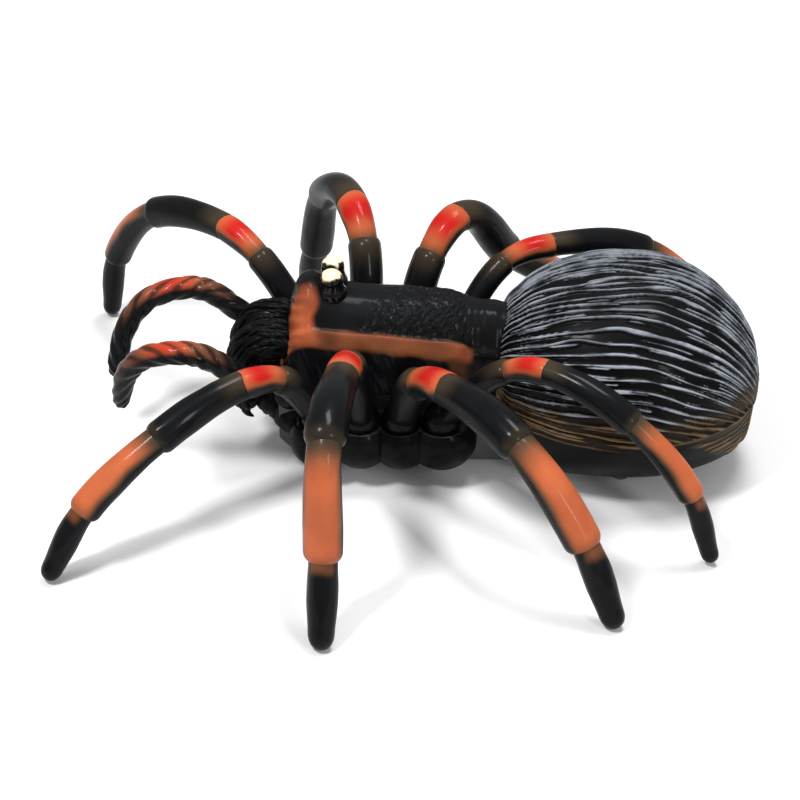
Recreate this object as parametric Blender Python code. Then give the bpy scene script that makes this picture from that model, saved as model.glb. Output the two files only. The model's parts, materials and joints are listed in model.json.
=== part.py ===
"""A battery-powered walking tarantula toy, about 22 cm long, built as separate moulded pieces.

All design dimensions are in millimetres. The head points to -Y, the tail to +Y, the toy's left side
is +X, and the feet stand on Z = 0. Every mesh is written in metres.
"""

import math

import bmesh
import bpy
from mathutils import Matrix, Vector

MM = 0.001
BODY_SHIFT = Vector((-0.3, 26.4, 0.0))  # puts the middle of the whole toy's box over the origin

# Clearances and walls
GAP = 0.3
WALL = 2.0

# Heights of the body
BASE_Z = 6.0
SEAM_Z = 28.5
CUP_RIM_Z = 21.0

# Legs: roots in a row on each side, numbered from the head backwards
ROOT_X = 16.5
ROOT_Z = 23.0
ROOT_FIRST_Y = -53.0
ROOT_PITCH = 12.5
BALL_R = 6.0
SOCKET_R = BALL_R + 0.4
PIVOT_R = 1.5
PIVOT_END_Z = 10.0
ARM_R = 1.3
ARM_LENGTHS = {1: 10.0, 2: 10.0, 3: 12.5, 4: 13.5}
PEG_R = 1.0
FOOT_R = 4.0
SEGMENT_LENGTHS = (34.7, 15.5, 32.0, 32.5)  # femur, patella, tibia, metatarsus
SEGMENT_RADII = (5.4, 5.2, 5.9, 5.6, 4.5)
THICKNESS = {1: 0.86, 2: 1.0, 3: 1.0, 4: 0.74}

# name: (side, number, overall scale, femur scale, yaws of femur, middle and end, five elevations)
LEGS = {
    "leg_left_1": (1, 1, 0.92, 0.80, (-48, -54, -59), (54, 11, -16, -35, -56)),
    "leg_left_2": (1, 2, 1.05, 0.87, (-10, -5, -3), (63, 22, 1, -74, -66)),
    "leg_left_3": (1, 3, 1.04, 0.63, (31, 37, 52), (61, 20, -1, -44, -62)),
    "leg_left_4": (1, 4, 0.90, 1.19, (53, 61, 78), (49, 16, -17, -50, -71)),
    "leg_right_1": (-1, 1, 1.03, 1.11, (-57, -51, -48), (49, 19, -12, -49, -77)),
    "leg_right_2": (-1, 2, 1.01, 1.10, (-3, -20, -18), (66, 32, -25, -62, -61)),
    "leg_right_3": (-1, 3, 0.99, 1.06, (38, 44, 46), (68, 36, -44, -40, -61)),
    "leg_right_4": (-1, 4, 1.07, 1.02, (53, 68, 70), (50, 10, -14, -48, -67)),
}
YAW_OF_SEGMENT = (0, 1, 1, 2, 2)
LOWER_BAR_LEGS = ("leg_left_1", "leg_right_2", "leg_left_3", "leg_right_4")

# Sockets moulded on the belly
LOBE_R = 9.5
LOBE_X = 15.5
LOBE_Z = 15.5

# Thorax
THORAX_FRONT_Y = -66.0
COLLAR_END_Y = 0.4
TRAY_HALF = 13.0
TRAY_INSIDE_HALF = 8.0
TRAY_INSIDE_FRONT_Y = -59.3
CHIN_START_Y = -59.0
CHIN_FRONT_Z = 13.5
# station y, half-width at the lower edge, half-width at the rim, rim height, top height
CARAPACE_STATIONS = (
    (-66.0, 9.5, 10.0, 38.0, 43.0),
    (-62.5, 11.0, 12.5, 45.0, 54.0),
    (-60.0, 12.4, 14.2, 48.5, 61.0),
    (-57.0, 13.0, 15.0, 50.0, 64.5),
    (-52.0, 13.0, 15.5, 50.0, 62.5),
    (-46.0, 13.0, 15.5, 49.5, 60.5),
    (-38.0, 13.0, 15.5, 49.0, 59.5),
    (-22.0, 13.0, 15.0, 47.0, 59.0),
    (-10.0, 12.5, 14.2, 45.5, 57.5),
    (-6.0, 12.0, 13.4, 44.0, 55.5),
    (COLLAR_END_Y, 12.0, 13.2, 43.5, 54.5),
)

# Abdomen: station y, half-width, top height, half-width of the flat base, base height
ABDOMEN_STATIONS = (
    (1.0, 13.0, 46.0, 9.0, 12.0),
    (3.0, 19.0, 52.0, 11.0, 8.0),
    (8.0, 25.0, 58.5, 14.0, BASE_Z),
    (16.0, 31.0, 64.0, 16.5, BASE_Z),
    (28.0, 35.5, 68.0, 18.0, BASE_Z),
    (42.0, 37.0, 69.0, 18.5, BASE_Z),
    (54.0, 35.5, 67.5, 17.0, BASE_Z),
    (64.0, 31.5, 63.0, 12.5, BASE_Z),
    (72.0, 25.5, 56.5, 7.5, BASE_Z),
    (78.0, 18.0, 49.0, 3.5, 7.0),
    (81.5, 10.5, 41.0, 2.5, 13.0),
    (82.5, 6.0, 36.0, 1.5, 20.0),
)
ABDOMEN_WIDEST_Z = 33.0
LIP = 1.2

# Eyes
EYE_X = 4.0
EYE_Y = -49.4
EYE_SEAT_Z = 65.2
EYE_CAP_R = 3.15
EYE_BORE_R = 1.7

# Mouth parts
CHELICERA_TOP = (6.0, -74.0, 39.5)
PALP_PATH = (
    (9.4, -61.4, 33.0),
    (14.2, -67.5, 34.0),
    (17.2, -73.5, 37.0),
    (17.8, -79.5, 41.5),
    (19.0, -88.0, 47.5),
    (19.0, -96.0, 49.0),
    (17.0, -107.0, 46.0),
    (13.5, -114.0, 38.0),
    (9.8, -117.0, 28.0),
    (8.2, -117.8, 22.0),
)
PALP_RADII = (2.2, 2.2, 3.4, 3.5, 3.7, 3.6, 3.5, 3.5, 3.3, 2.2)
PALP_REACH = {1: 0.96, -1: 1.03}  # how far forward each one stretches from its root
PALP_LEAN = (0.9, -0.7)  # both lean to the left and a little down past their fourth point

# Drive
BAR_TRAVEL = 1.25
BAR_THICK = 2.0
LOWER_BAR_Z = 18.3
UPPER_BAR_Z = 25.9
BAR_HALF = 7.6
BAR_FRONT_Y = -57.5
BAR_NECK_Y = -10.0
BAR_NECK_HALF = 5.5
CRANK_Y = 1.5
CRANK_PITCH_R = 8.0
CRANK_TEETH = 24
CRANK_Z = (21.1, 24.9)
CRANK_PIN_R = 1.0
SMALL_PITCH_R = 4.0
SMALL_TEETH = 12
BIG_PITCH_R = 9.0
BIG_TEETH = 32
BIG_Z = (29.6, 32.6)
PINION_PITCH_R = 2.25
PINION_TEETH = 8
TOOTH_DEPTH = 0.55
AXLE_R = 1.0
COMPOUND_Y = CRANK_Y + CRANK_PITCH_R + SMALL_PITCH_R
MOTOR_Y = COMPOUND_Y + BIG_PITCH_R + PINION_PITCH_R
BRACKET_Z = (34.0, 36.0)
MOTOR_Z = (36.3, 55.0)

# Batteries
CELL_R = 5.25
CELL_LENGTH = 44.5
CELL_X = 5.6
BAY_Y = (12.0, 60.5)
BAY_HALF = 11.2
BAY_WALL = 1.5
DOOR_THICK = 1.6
BAY_TOP_Z = 18.8
CELL_Z = BASE_Z + DOOR_THICK + GAP + CELL_R

# Switch
SWITCH_Y = -34.0
SWITCH_TRAVEL = 4.0

# Screws that hold the two upper shells: x, y and the height of the underside of each head
SHELL_SCREWS = {
    "screw_head": (0.0, -62.0, 12.5),
    "screw_waist_left": (10.2, -3.0, 9.4),
    "screw_waist_right": (-10.2, -3.0, 9.4),
    "screw_abdomen_left": (21.0, 40.0, 9.4),
    "screw_abdomen_right": (-21.0, 40.0, 9.4),
}
SCREW_R = 1.2
SCREW_HEAD_R = 1.9
POST_R = 2.4
DOOR_SCREW_Y = BAY_Y[1] + 3.4


# ---------------------------------------------------------------- meshes

def clear_scene():
    for obj in list(bpy.data.objects):
        bpy.data.objects.remove(obj, do_unlink=True)
    for mesh in list(bpy.data.meshes):
        bpy.data.meshes.remove(mesh)
    for material in list(bpy.data.materials):
        bpy.data.materials.remove(material)


def world(point):
    """A design point in millimetres as a world point in metres."""
    return (Vector(point) + BODY_SHIFT) * MM


def link(name, mesh):
    obj = bpy.data.objects.new(name, mesh)
    bpy.context.scene.collection.objects.link(obj)
    return obj


def ring_solid(name, rings):
    """A closed solid through rings of equal length. A ring of one point closes to that point."""
    bm = bmesh.new()
    rows = [[bm.verts.new(world(point)) for point in ring] for ring in rings]
    for first, second in zip(rows, rows[1:]):
        count = max(len(first), len(second))
        for i in range(count):
            j = (i + 1) % count
            if len(first) == 1:
                corners = (first[0], second[i], second[j])
            elif len(second) == 1:
                corners = (first[i], second[0], first[j])
            else:
                corners = (first[i], second[i], second[j], first[j])
            bm.faces.new(corners)
    if len(rows[0]) > 1:
        bm.faces.new(rows[0])
    if len(rows[-1]) > 1:
        bm.faces.new(list(reversed(rows[-1])))
    bmesh.ops.recalc_face_normals(bm, faces=bm.faces)
    mesh = bpy.data.meshes.new(name)
    bm.to_mesh(mesh)
    bm.free()
    return link(name, mesh)


def box(low, high):
    rings = []
    for z in (low[2], high[2]):
        rings.append([
            (low[0], low[1], z),
            (high[0], low[1], z),
            (high[0], high[1], z),
            (low[0], high[1], z),
        ])
    return ring_solid("box", rings)


def prism(outline, z_low, z_high):
    rings = []
    for z in (z_low, z_high):
        rings.append([(x, y, z) for x, y in outline])
    return ring_solid("prism", rings)


def tube(path, radii, sides=12):
    """A round tube through the points of a path, one radius at each point."""
    points = [Vector(point) for point in path]
    rings = []
    across = None
    for i, point in enumerate(points):
        before = points[max(i - 1, 0)]
        after = points[min(i + 1, len(points) - 1)]
        along = (after - before).normalized()
        if across is None:
            guide = Vector((0, 0, 1)) if abs(along.z) < 0.9 else Vector((0, 1, 0))
            across = along.cross(guide).normalized()
        across = (across - along * across.dot(along)).normalized()
        up = along.cross(across)
        ring = []
        for k in range(sides):
            angle = 2 * math.pi * k / sides
            ring.append(point + radii[i] * (math.cos(angle) * across + math.sin(angle) * up))
        rings.append(ring)
    return ring_solid("tube", rings)


def cylinder(start, end, radius, sides=16):
    return tube((start, end), (radius, radius), sides)


def ball(centre, radius, sides, rows):
    """A sphere with its poles up and down."""
    rings = []
    for i in range(rows + 1):
        polar = math.pi * i / rows
        z = centre[2] + radius * math.cos(polar)
        if i in (0, rows):
            rings.append([(centre[0], centre[1], z)])
            continue
        width = radius * math.sin(polar)
        rings.append([
            (centre[0] + width * math.cos(angle), centre[1] + width * math.sin(angle), z)
            for angle in (2 * math.pi * k / sides for k in range(sides))
        ])
    return ring_solid("ball", rings)


def combine(target, others, operation):
    """Joins, cuts or keeps the overlap of solids, and removes the ones used up."""
    for other in others:
        modifier = target.modifiers.new(operation, "BOOLEAN")
        modifier.operation = operation
        modifier.solver = "EXACT"
        modifier.object = other
        bpy.context.view_layer.update()
        graph = bpy.context.evaluated_depsgraph_get()
        mesh = bpy.data.meshes.new_from_object(target.evaluated_get(graph))
        target.modifiers.clear()
        used = target.data
        target.data = mesh
        bpy.data.meshes.remove(used)
        bpy.data.objects.remove(other, do_unlink=True)
    return target


def fuse(target, *others):
    return combine(target, others, "UNION")


def cut(target, *others):
    return combine(target, others, "DIFFERENCE")


def clean(obj):
    """Merges the stray points that Booleans leave and turns every face outward."""
    bm = bmesh.new()
    bm.from_mesh(obj.data)
    bmesh.ops.remove_doubles(bm, verts=bm.verts, dist=0.001 * MM)
    bmesh.ops.dissolve_degenerate(bm, edges=bm.edges, dist=0.001 * MM)
    bmesh.ops.recalc_face_normals(bm, faces=bm.faces)
    bm.to_mesh(obj.data)
    bm.free()


def material(name, colour, roughness, metallic=0.0):
    found = bpy.data.materials.get(name)
    if found:
        return found
    made = bpy.data.materials.new(name)
    made.use_nodes = True
    shader = made.node_tree.nodes["Principled BSDF"]
    shader.inputs["Base Color"].default_value = (*colour, 1.0)
    shader.inputs["Roughness"].default_value = roughness
    shader.inputs["Metallic"].default_value = metallic
    return made


def finish(obj, name, surface, origin=(0.0, 0.0, 0.0)):
    """Names a piece, gives it its material and puts its origin where it turns or sits."""
    clean(obj)
    obj.name = name
    obj.data.name = name
    pivot = world(origin)
    obj.data.transform(Matrix.Translation(-pivot))
    obj.location = pivot
    obj.data.materials.clear()
    obj.data.materials.append(surface)
    obj.data.shade_smooth()
    obj.data.set_sharp_from_angle(angle=math.radians(35))
    return obj


# ---------------------------------------------------------------- materials

def black_plastic():
    return material("black_plastic", (0.022, 0.023, 0.026), 0.32)


def leg_plastic():
    return material("leg_plastic", (0.03, 0.03, 0.034), 0.35)


def eye_plastic():
    return material("eye_plastic", (0.86, 0.78, 0.55), 0.25)


def steel():
    return material("steel", (0.55, 0.55, 0.56), 0.35, 1.0)


def nylon():
    return material("nylon", (0.78, 0.78, 0.74), 0.5)


def bar_plastic():
    return material("bar_plastic", (0.10, 0.10, 0.11), 0.55)


def cell_wrap():
    return material("cell_wrap", (0.12, 0.20, 0.36), 0.35)


def board_green():
    return material("board_green", (0.03, 0.20, 0.08), 0.5)


def led_resin():
    return material("led_resin", (0.85, 0.80, 0.66), 0.2)


# ---------------------------------------------------------------- legs

def root_y(number):
    return ROOT_FIRST_Y + ROOT_PITCH * (number - 1)


def leg_root(side, number):
    return Vector((side * ROOT_X, root_y(number), ROOT_Z))


def direction(side, yaw, elevation):
    yaw = math.radians(yaw)
    elevation = math.radians(elevation)
    flat = math.cos(elevation)
    return Vector((side * flat * math.cos(yaw), flat * math.sin(yaw), math.sin(elevation)))


def leg_joints(side, number, scale, femur_scale, yaws, elevations):
    """The root, four creases and centre of the foot. The tarsus is as long as reaches the ground."""
    joints = [leg_root(side, number)]
    for i, elevation in enumerate(elevations):
        heading = direction(side, yaws[YAW_OF_SEGMENT[i]], elevation)
        if i == 4:
            length = (FOOT_R - joints[-1].z) / heading.z
        else:
            length = SEGMENT_LENGTHS[i] * scale
        if i == 0:
            length *= femur_scale
        joints.append(joints[-1] + heading * length)
    return joints


def leg_outline(joints, thickness):
    """The path and radii of a leg: each segment starts slim at its crease and swells to its end."""
    path = []
    radii = []
    for i, radius in enumerate(SEGMENT_RADII):
        start = joints[i]
        end = joints[i + 1]
        radius *= thickness
        shares = ((0.0, 0.84), (0.55, 0.98)) if i == 0 else ((0.1, 0.86), (0.5, 0.97), (0.85, 1.0))
        if i == 4:
            shares = ((0.12, 0.9), (0.55, 1.0), (1.0, 0.82))
        for share, swell in shares:
            path.append(start.lerp(end, share))
            radii.append(radius * swell)
    return path, radii


def build_leg(name):
    side, number, scale, femur_scale, yaws, elevations = LEGS[name]
    joints = leg_joints(side, number, scale, femur_scale, yaws, elevations)
    root = joints[0]
    path, radii = leg_outline(joints, THICKNESS[number])
    limb = tube(path, radii, 10)
    foot = ball(joints[-1] - Vector((0, 0, 0.2)), FOOT_R * THICKNESS[number] ** 0.5, 10, 6)
    lowest = joints[-1].z - 0.2 - FOOT_R * THICKNESS[number] ** 0.5
    limb = fuse(limb, foot, ball(root, BALL_R, 12, 8))
    pivot = cylinder(root, (root.x, root.y, PIVOT_END_Z), PIVOT_R, 10)
    peg_x = root.x - side * ARM_LENGTHS[number]
    arm = cylinder(root, (peg_x - side * 1.2, root.y, root.z), ARM_R, 8)
    if name in LOWER_BAR_LEGS:
        peg_end = LOWER_BAR_Z - 0.4
    else:
        peg_end = UPPER_BAR_Z + BAR_THICK + 0.4
    peg = cylinder((peg_x, root.y, root.z), (peg_x, root.y, peg_end), PEG_R, 8)
    limb = fuse(limb, pivot, arm, peg)
    for vertex in limb.data.vertices:
        height = vertex.co.z / MM
        if height < FOOT_R:
            vertex.co.z = (height - lowest * (FOOT_R - height) / (FOOT_R - lowest)) * MM
    return finish(limb, name, leg_plastic(), root)


# ---------------------------------------------------------------- body shells

def abdomen_ring(station, inset):
    """One cross-section: a rounded top, sides that turn in below the widest height, a flat base."""
    y, half, top, base_half, base_z = station
    half = max(half - inset, 1.0)
    top -= inset
    base_half = max(base_half - inset * 0.6, 0.8)
    base_z += inset
    ring = []
    for k in range(9):
        angle = math.pi * k / 8
        ring.append((half * math.cos(angle), y, ABDOMEN_WIDEST_Z
                     + (top - ABDOMEN_WIDEST_Z) * math.sin(angle) ** 0.92))
    under = []
    for share in (0.35, 0.72, 1.0):
        angle = share * math.pi / 2
        x = base_half + (half - base_half) * math.cos(angle)
        z = ABDOMEN_WIDEST_Z - (ABDOMEN_WIDEST_Z - base_z) * math.sin(angle)
        under.append((x, z))
    ring += [(-x, y, z) for x, z in under]
    ring += [(x, y, z) for x, z in reversed(under)]
    return ring


def abdomen_solid(inset):
    front = ABDOMEN_STATIONS[0][0]
    back = ABDOMEN_STATIONS[-1][0]
    middle = (front + back) / 2
    squeeze = 1 - inset / (back - middle)
    rings = []
    for station in ABDOMEN_STATIONS:
        moved = (middle + (station[0] - middle) * squeeze, *station[1:])
        rings.append(abdomen_ring(moved, inset))
    return ring_solid("abdomen", rings)


def carapace_solid(inset, low_z):
    """The thorax above the seam: sides leaning out to a rim, then a low dome."""
    rings = []
    front = CARAPACE_STATIONS[0][0]
    for station in CARAPACE_STATIONS:
        y, low_half, rim_half, rim_z, top = station
        y += inset if y == front else 0.0
        y -= inset if y == COLLAR_END_Y else 0.0
        low_half -= inset
        rim_half -= inset
        top -= inset
        ring = [(low_half, y, low_z)]
        for k in range(9):
            angle = math.pi * k / 8
            ring.append((rim_half * math.cos(angle), y, rim_z + (top - rim_z) * math.sin(angle)))
        ring.append((-low_half, y, low_z))
        rings.append(ring)
    return ring_solid("carapace", rings)


def cup_row(make):
    """One solid from make(side, number) for every leg root."""
    return [make(side, number) for side in (1, -1) for number in (1, 2, 3, 4)]


def lobe(side, number):
    return ball((side * LOBE_X, root_y(number), LOBE_Z), LOBE_R, 14, 8)


def socket(side, number):
    """The room for a leg's ball, with the hole for its pivot pin below."""
    root = leg_root(side, number)
    hole = cylinder(root, (root.x, root.y, PIVOT_END_Z - 0.6), PIVOT_R + 0.35, 10)
    return fuse(ball(root, SOCKET_R, 12, 8), hole)


def belly_posts():
    """Posts that take the screws of the upper shells, and the one that carries the crank axle."""
    top = SEAM_Z - GAP / 2
    posts = [cylinder((x, y, BASE_Z + 0.5), (x, y, top - 0.2), POST_R, 12)
             for x, y, _ in SHELL_SCREWS.values()]
    posts.append(cylinder((0, CRANK_Y, BASE_Z + 0.5), (0, CRANK_Y, LOWER_BAR_Z - 0.6), 2.6, 12))
    posts.append(cylinder((0, DOOR_SCREW_Y, BASE_Z + 0.5), (0, DOOR_SCREW_Y, BASE_Z + 8), POST_R, 12))
    return posts


def screw_holes():
    """Through holes for the shanks, with a wider recess for each head from below."""
    holes = []
    for x, y, head_z in SHELL_SCREWS.values():
        holes.append(cylinder((x, y, 0), (x, y, SEAM_Z + 5), SCREW_R + 0.25, 8))
        holes.append(cylinder((x, y, 0), (x, y, head_z + 1.6), SCREW_HEAD_R + 0.3, 12))
    return holes


def bay_block():
    low = (-BAY_HALF - BAY_WALL, BAY_Y[0] - BAY_WALL, BASE_Z + 0.2)
    high = (BAY_HALF + BAY_WALL, BAY_Y[1] + BAY_WALL, BAY_TOP_Z + BAY_WALL)
    return box(low, high)


def door_plate(margin, z_low, z_high):
    """The outline of the door, wider than the bay by a margin, with a tab behind for its screw."""
    plate = box((-BAY_HALF - margin, BAY_Y[0] - margin, z_low),
                (BAY_HALF + margin, BAY_Y[1] + margin, z_high))
    tab = box((-3.6 - margin, BAY_Y[1] - 2.0, z_low), (3.6 + margin, DOOR_SCREW_Y + 2.0 + margin, z_high))
    return fuse(plate, tab)


def chin_wedge():
    """What is cut away under the front of the head, so that its underside rises to the jaws."""
    rings = []
    for x in (-40.0, 40.0):
        rings.append([
            (x, CHIN_START_Y, BASE_Z - 0.5),
            (x, THORAX_FRONT_Y - 3.0, BASE_Z - 0.5),
            (x, THORAX_FRONT_Y - 3.0, CHIN_FRONT_Z + 3.0),
        ])
    return ring_solid("chin", rings)


def build_belly():
    top = SEAM_Z - GAP / 2
    tray = box((-TRAY_HALF, THORAX_FRONT_Y, BASE_Z), (TRAY_HALF, 6.0, top))
    bowl = abdomen_solid(LIP)
    belly = fuse(tray, bowl, *cup_row(lobe))
    belly = cut(belly, abdomen_solid(LIP + WALL))
    inside = box((-TRAY_INSIDE_HALF, TRAY_INSIDE_FRONT_Y, BASE_Z + WALL),
                 (TRAY_INSIDE_HALF, 7.0, 40.0))
    crank_room = box((-9.0, -6.5, BASE_Z + WALL), (9.0, 7.0, 40.0))
    belly = cut(belly, inside, crank_room)
    belly = fuse(belly, *belly_posts())
    belly = fuse(belly, bay_block())
    leg_gap = box((-40, THORAX_FRONT_Y + 6.5, CUP_RIM_Z), (40, -7.0, 60.0))
    above = box((-60, -90, top), (60, 100, 90))
    below = box((-60, -90, -10), (60, 100, BASE_Z))
    belly = cut(belly, leg_gap, above, below, chin_wedge())
    belly = cut(belly, *cup_row(socket))
    bay = box((-BAY_HALF, BAY_Y[0], BASE_Z + DOOR_THICK), (BAY_HALF, BAY_Y[1], BAY_TOP_Z))
    recess = door_plate(0.9, 0.0, BASE_Z + DOOR_THICK + 0.1)
    door_bore = cylinder((0, DOOR_SCREW_Y, 0), (0, DOOR_SCREW_Y, BASE_Z + 6.5), 1.2, 8)
    belly = cut(belly, bay, recess, door_bore)
    belly = cut(belly, *screw_holes())
    crank_bore = cylinder((0, CRANK_Y, BASE_Z + 4.0), (0, CRANK_Y, 30), AXLE_R + 0.15, 12)
    compound_bore = cylinder((0, COMPOUND_Y, BAY_TOP_Z - 1), (0, COMPOUND_Y, 30), AXLE_R + 0.15, 12)
    slot = box((-1.9, SWITCH_Y - 2.2, 0), (1.9, SWITCH_Y + SWITCH_TRAVEL + 2.2, BASE_Z + 3))
    belly = cut(belly, crank_bore, compound_bore, slot)
    return finish(belly, "belly_shell", black_plastic())


def build_abdomen_shell():
    shell = cut(abdomen_solid(0.0), abdomen_solid(WALL))
    shell = cut(shell, box((-60, -20, -10), (60, 100, SEAM_Z + GAP / 2)))
    for name in ("screw_abdomen_left", "screw_abdomen_right"):
        x, y, _ = SHELL_SCREWS[name]
        post = cylinder((x, y, SEAM_Z + GAP / 2), (x, y, 61.0), POST_R, 12)
        shell = fuse(shell, post)
        shell = cut(shell, cylinder((x, y, 20), (x, y, SEAM_Z + 9), SCREW_R - 0.1 + GAP, 12))
    return finish(shell, "abdomen_shell", black_plastic())


def build_carapace():
    low = SEAM_Z + GAP / 2
    shell = carapace_solid(0.0, low)
    shell = cut(shell, carapace_solid(WALL, low - 5.0))
    for side in (1, -1):
        stalk = cylinder((side * EYE_X, EYE_Y, 60.0), (side * EYE_X, EYE_Y, EYE_SEAT_Z), EYE_CAP_R - 0.3, 12)
        shell = fuse(shell, stalk)
    for side in (1, -1):
        bore = cylinder((side * EYE_X, EYE_Y, 50.0), (side * EYE_X, EYE_Y, 70.0), EYE_BORE_R, 12)
        shell = cut(shell, bore)
    for name in ("screw_head", "screw_waist_left", "screw_waist_right"):
        x, y, _ = SHELL_SCREWS[name]
        top = 46.0 if x == 0 else 44.0
        shell = fuse(shell, cylinder((x, y, low), (x, y, top), POST_R, 12))
        shell = cut(shell, cylinder((x, y, 20), (x, y, SEAM_Z + 9), SCREW_R + 0.2, 12))
    for side in (1, -1):
        x, y, z = CHELICERA_TOP
        plug = cylinder((side * x, y, z), (side * x, THORAX_FRONT_Y + 6, z), 2.3)
        shell = cut(shell, plug)
        root, bend = (Vector((side * x, y, z)) for x, y, z in PALP_PATH[:2])
        shell = cut(shell, cylinder(root + (root - bend) * 0.2, bend, PALP_RADII[0] + 0.5))
    return finish(shell, "carapace_shell", black_plastic())


# ---------------------------------------------------------------- head pieces

def build_chelicera(side):
    """A long bulging jaw with a short fang under its tip and a plug into the head."""
    x, y, z = CHELICERA_TOP
    rings = []
    front_y = THORAX_FRONT_Y - GAP
    for share, depth, width, height in (
        (0.0, front_y, 9.4, 8.5),
        (0.3, front_y - 4.5, 10.8, 10.5),
        (0.6, front_y - 9.0, 11.2, 11.5),
        (0.85, front_y - 13.0, 9.6, 11.0),
        (1.0, front_y - 16.0, 6.0, 7.5),
    ):
        centre_z = z - 5.0 * share
        ring = []
        for k in range(12):
            angle = 2 * math.pi * k / 12
            local_x = x + width / 2 * math.cos(angle)
            local_z = centre_z + height * math.sin(angle) - (2.0 if math.sin(angle) < 0 else 0.0)
            ring.append((side * local_x, depth, local_z))
        rings.append(ring)
    jaw = ring_solid("jaw", rings)
    fang = tube(
        ((side * x, -77.0, 28.0), (side * x, -78.0, 22.0), (side * (x - 0.8), -75.5, 17.5)),
        (3.4, 2.2, 0.6),
        12,
    )
    plug = cylinder((side * x, y, z), (side * x, THORAX_FRONT_Y + 4.0, z), 2.0)
    jaw = fuse(jaw, fang, plug)
    name = "chelicera_left" if side > 0 else "chelicera_right"
    return finish(jaw, name, black_plastic(), (side * x, y, z))


def palp_path(side):
    """The path of one palp, posed a little differently on each side."""
    root_y_design = PALP_PATH[0][1]
    path = []
    for i, (x, y, z) in enumerate(PALP_PATH):
        share = min(i / 3, 1.0)
        reach = 1 + (PALP_REACH[side] - 1) * share
        path.append((side * x + PALP_LEAN[0] * share,
                     root_y_design + (y - root_y_design) * reach,
                     z + PALP_LEAN[1] * share))
    return path


def build_palp(side):
    path = palp_path(side)
    palp = tube(path, PALP_RADII, 12)
    name = "pedipalp_left" if side > 0 else "pedipalp_right"
    return finish(palp, name, leg_plastic(), path[0])


def build_eye(side):
    tag = "left" if side > 0 else "right"
    x = side * EYE_X
    seat = EYE_SEAT_Z + 0.2
    rings = []
    for height, radius in ((0.0, EYE_CAP_R), (1.4, EYE_CAP_R), (2.6, 2.6), (3.3, 1.6)):
        rings.append([
            (x + radius * math.cos(a), EYE_Y + radius * math.sin(a), seat + height)
            for a in (2 * math.pi * k / 20 for k in range(20))
        ])
    rings.append([(x, EYE_Y, seat + 3.6)])
    finish(ring_solid("cap", rings), "eye_cap_" + tag, eye_plastic(), (x, EYE_Y, seat))
    led = cylinder((x, EYE_Y, 58.5), (x, EYE_Y, EYE_SEAT_Z - 0.6), EYE_BORE_R - 0.25, 12)
    base = cylinder((x, EYE_Y, 57.2), (x, EYE_Y, 58.7), EYE_BORE_R - 0.05, 12)
    finish(fuse(led, base), "eye_led_" + tag, led_resin(), (x, EYE_Y, 58.5))


# ---------------------------------------------------------------- drive

def bar_outline():
    back = CRANK_Y + 5.6
    right = [
        (BAR_HALF, BAR_FRONT_Y),
        (BAR_HALF, BAR_NECK_Y),
        (BAR_NECK_HALF, BAR_NECK_Y + 2.0),
        (BAR_NECK_HALF, -0.5),
        (6.2, 1.5),
        (6.2, back),
    ]
    left = [(-x, y) for x, y in reversed(right)]
    return right + left


def build_bar(name, low_z, driven):
    """A sliding plate with one slot for each leg peg and a window for the crank."""
    bar = prism(bar_outline(), low_z, low_z + BAR_THICK)
    for leg_name in driven:
        side, number = LEGS[leg_name][:2]
        peg_x = side * (ROOT_X - ARM_LENGTHS[number])
        y = root_y(number)
        half_y = PEG_R + 0.4
        outer = side * (BAR_HALF + 1) if number < 3 else peg_x + side * 1.6
        inner = peg_x - side * 1.6
        low_x = min(inner, outer)
        high_x = max(inner, outer)
        bar = cut(bar, box((low_x, y - half_y, 0), (high_x, y + half_y, 60)))
    half_x = BAR_TRAVEL + CRANK_PIN_R + 0.5
    half_y = 2 * BAR_TRAVEL + CRANK_PIN_R + 0.4
    bar = cut(bar, box((-half_x, CRANK_Y - half_y, 0), (half_x, CRANK_Y + half_y, 60)))
    return finish(bar, name, bar_plastic(), (0, CRANK_Y, low_z))


def gear(y, pitch_r, teeth, z_low, z_high, phase=0.0):
    """A spur gear whose teeth stop just short of the pitch circle of its partner."""
    outer = pitch_r - 0.15
    inner = outer - 2 * TOOTH_DEPTH
    outline = []
    step = 2 * math.pi / teeth
    for i in range(teeth):
        middle = phase + i * step
        for offset, radius in ((-0.32, inner), (-0.16, outer), (0.16, outer), (0.32, inner)):
            angle = middle + offset * step
            outline.append((radius * math.cos(angle), y + radius * math.sin(angle)))
    return prism(outline, z_low, z_high)


def bore(y, z_low, z_high, radius=AXLE_R + 0.15):
    return cylinder((0, y, z_low - 1), (0, y, z_high + 1), radius, 12)


def build_crank():
    """The last gear, with one pin down into the lower bar and one up into the upper bar."""
    wheel = gear(CRANK_Y, CRANK_PITCH_R, CRANK_TEETH, *CRANK_Z)
    low_pin = cylinder((BAR_TRAVEL, CRANK_Y, 22), (BAR_TRAVEL, CRANK_Y, LOWER_BAR_Z), CRANK_PIN_R, 12)
    top_pin = cylinder((-BAR_TRAVEL, CRANK_Y, 24), (-BAR_TRAVEL, CRANK_Y, UPPER_BAR_Z + BAR_THICK),
                       CRANK_PIN_R, 12)
    wheel = fuse(wheel, low_pin, top_pin)
    wheel = cut(wheel, bore(CRANK_Y, 10, 40))
    return finish(wheel, "crank_gear", nylon(), (0, CRANK_Y, CRANK_Z[0]))


def build_compound():
    small = gear(COMPOUND_Y, SMALL_PITCH_R, SMALL_TEETH, *CRANK_Z, math.pi / 12)
    hub = cylinder((0, COMPOUND_Y, CRANK_Z[1] - 0.5), (0, COMPOUND_Y, BIG_Z[0] + 0.5), 2.4)
    big = gear(COMPOUND_Y, BIG_PITCH_R, BIG_TEETH, *BIG_Z)
    wheel = fuse(big, hub, small)
    wheel = cut(wheel, bore(COMPOUND_Y, 10, 40))
    return finish(wheel, "compound_gear", nylon(), (0, COMPOUND_Y, CRANK_Z[0]))


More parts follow.
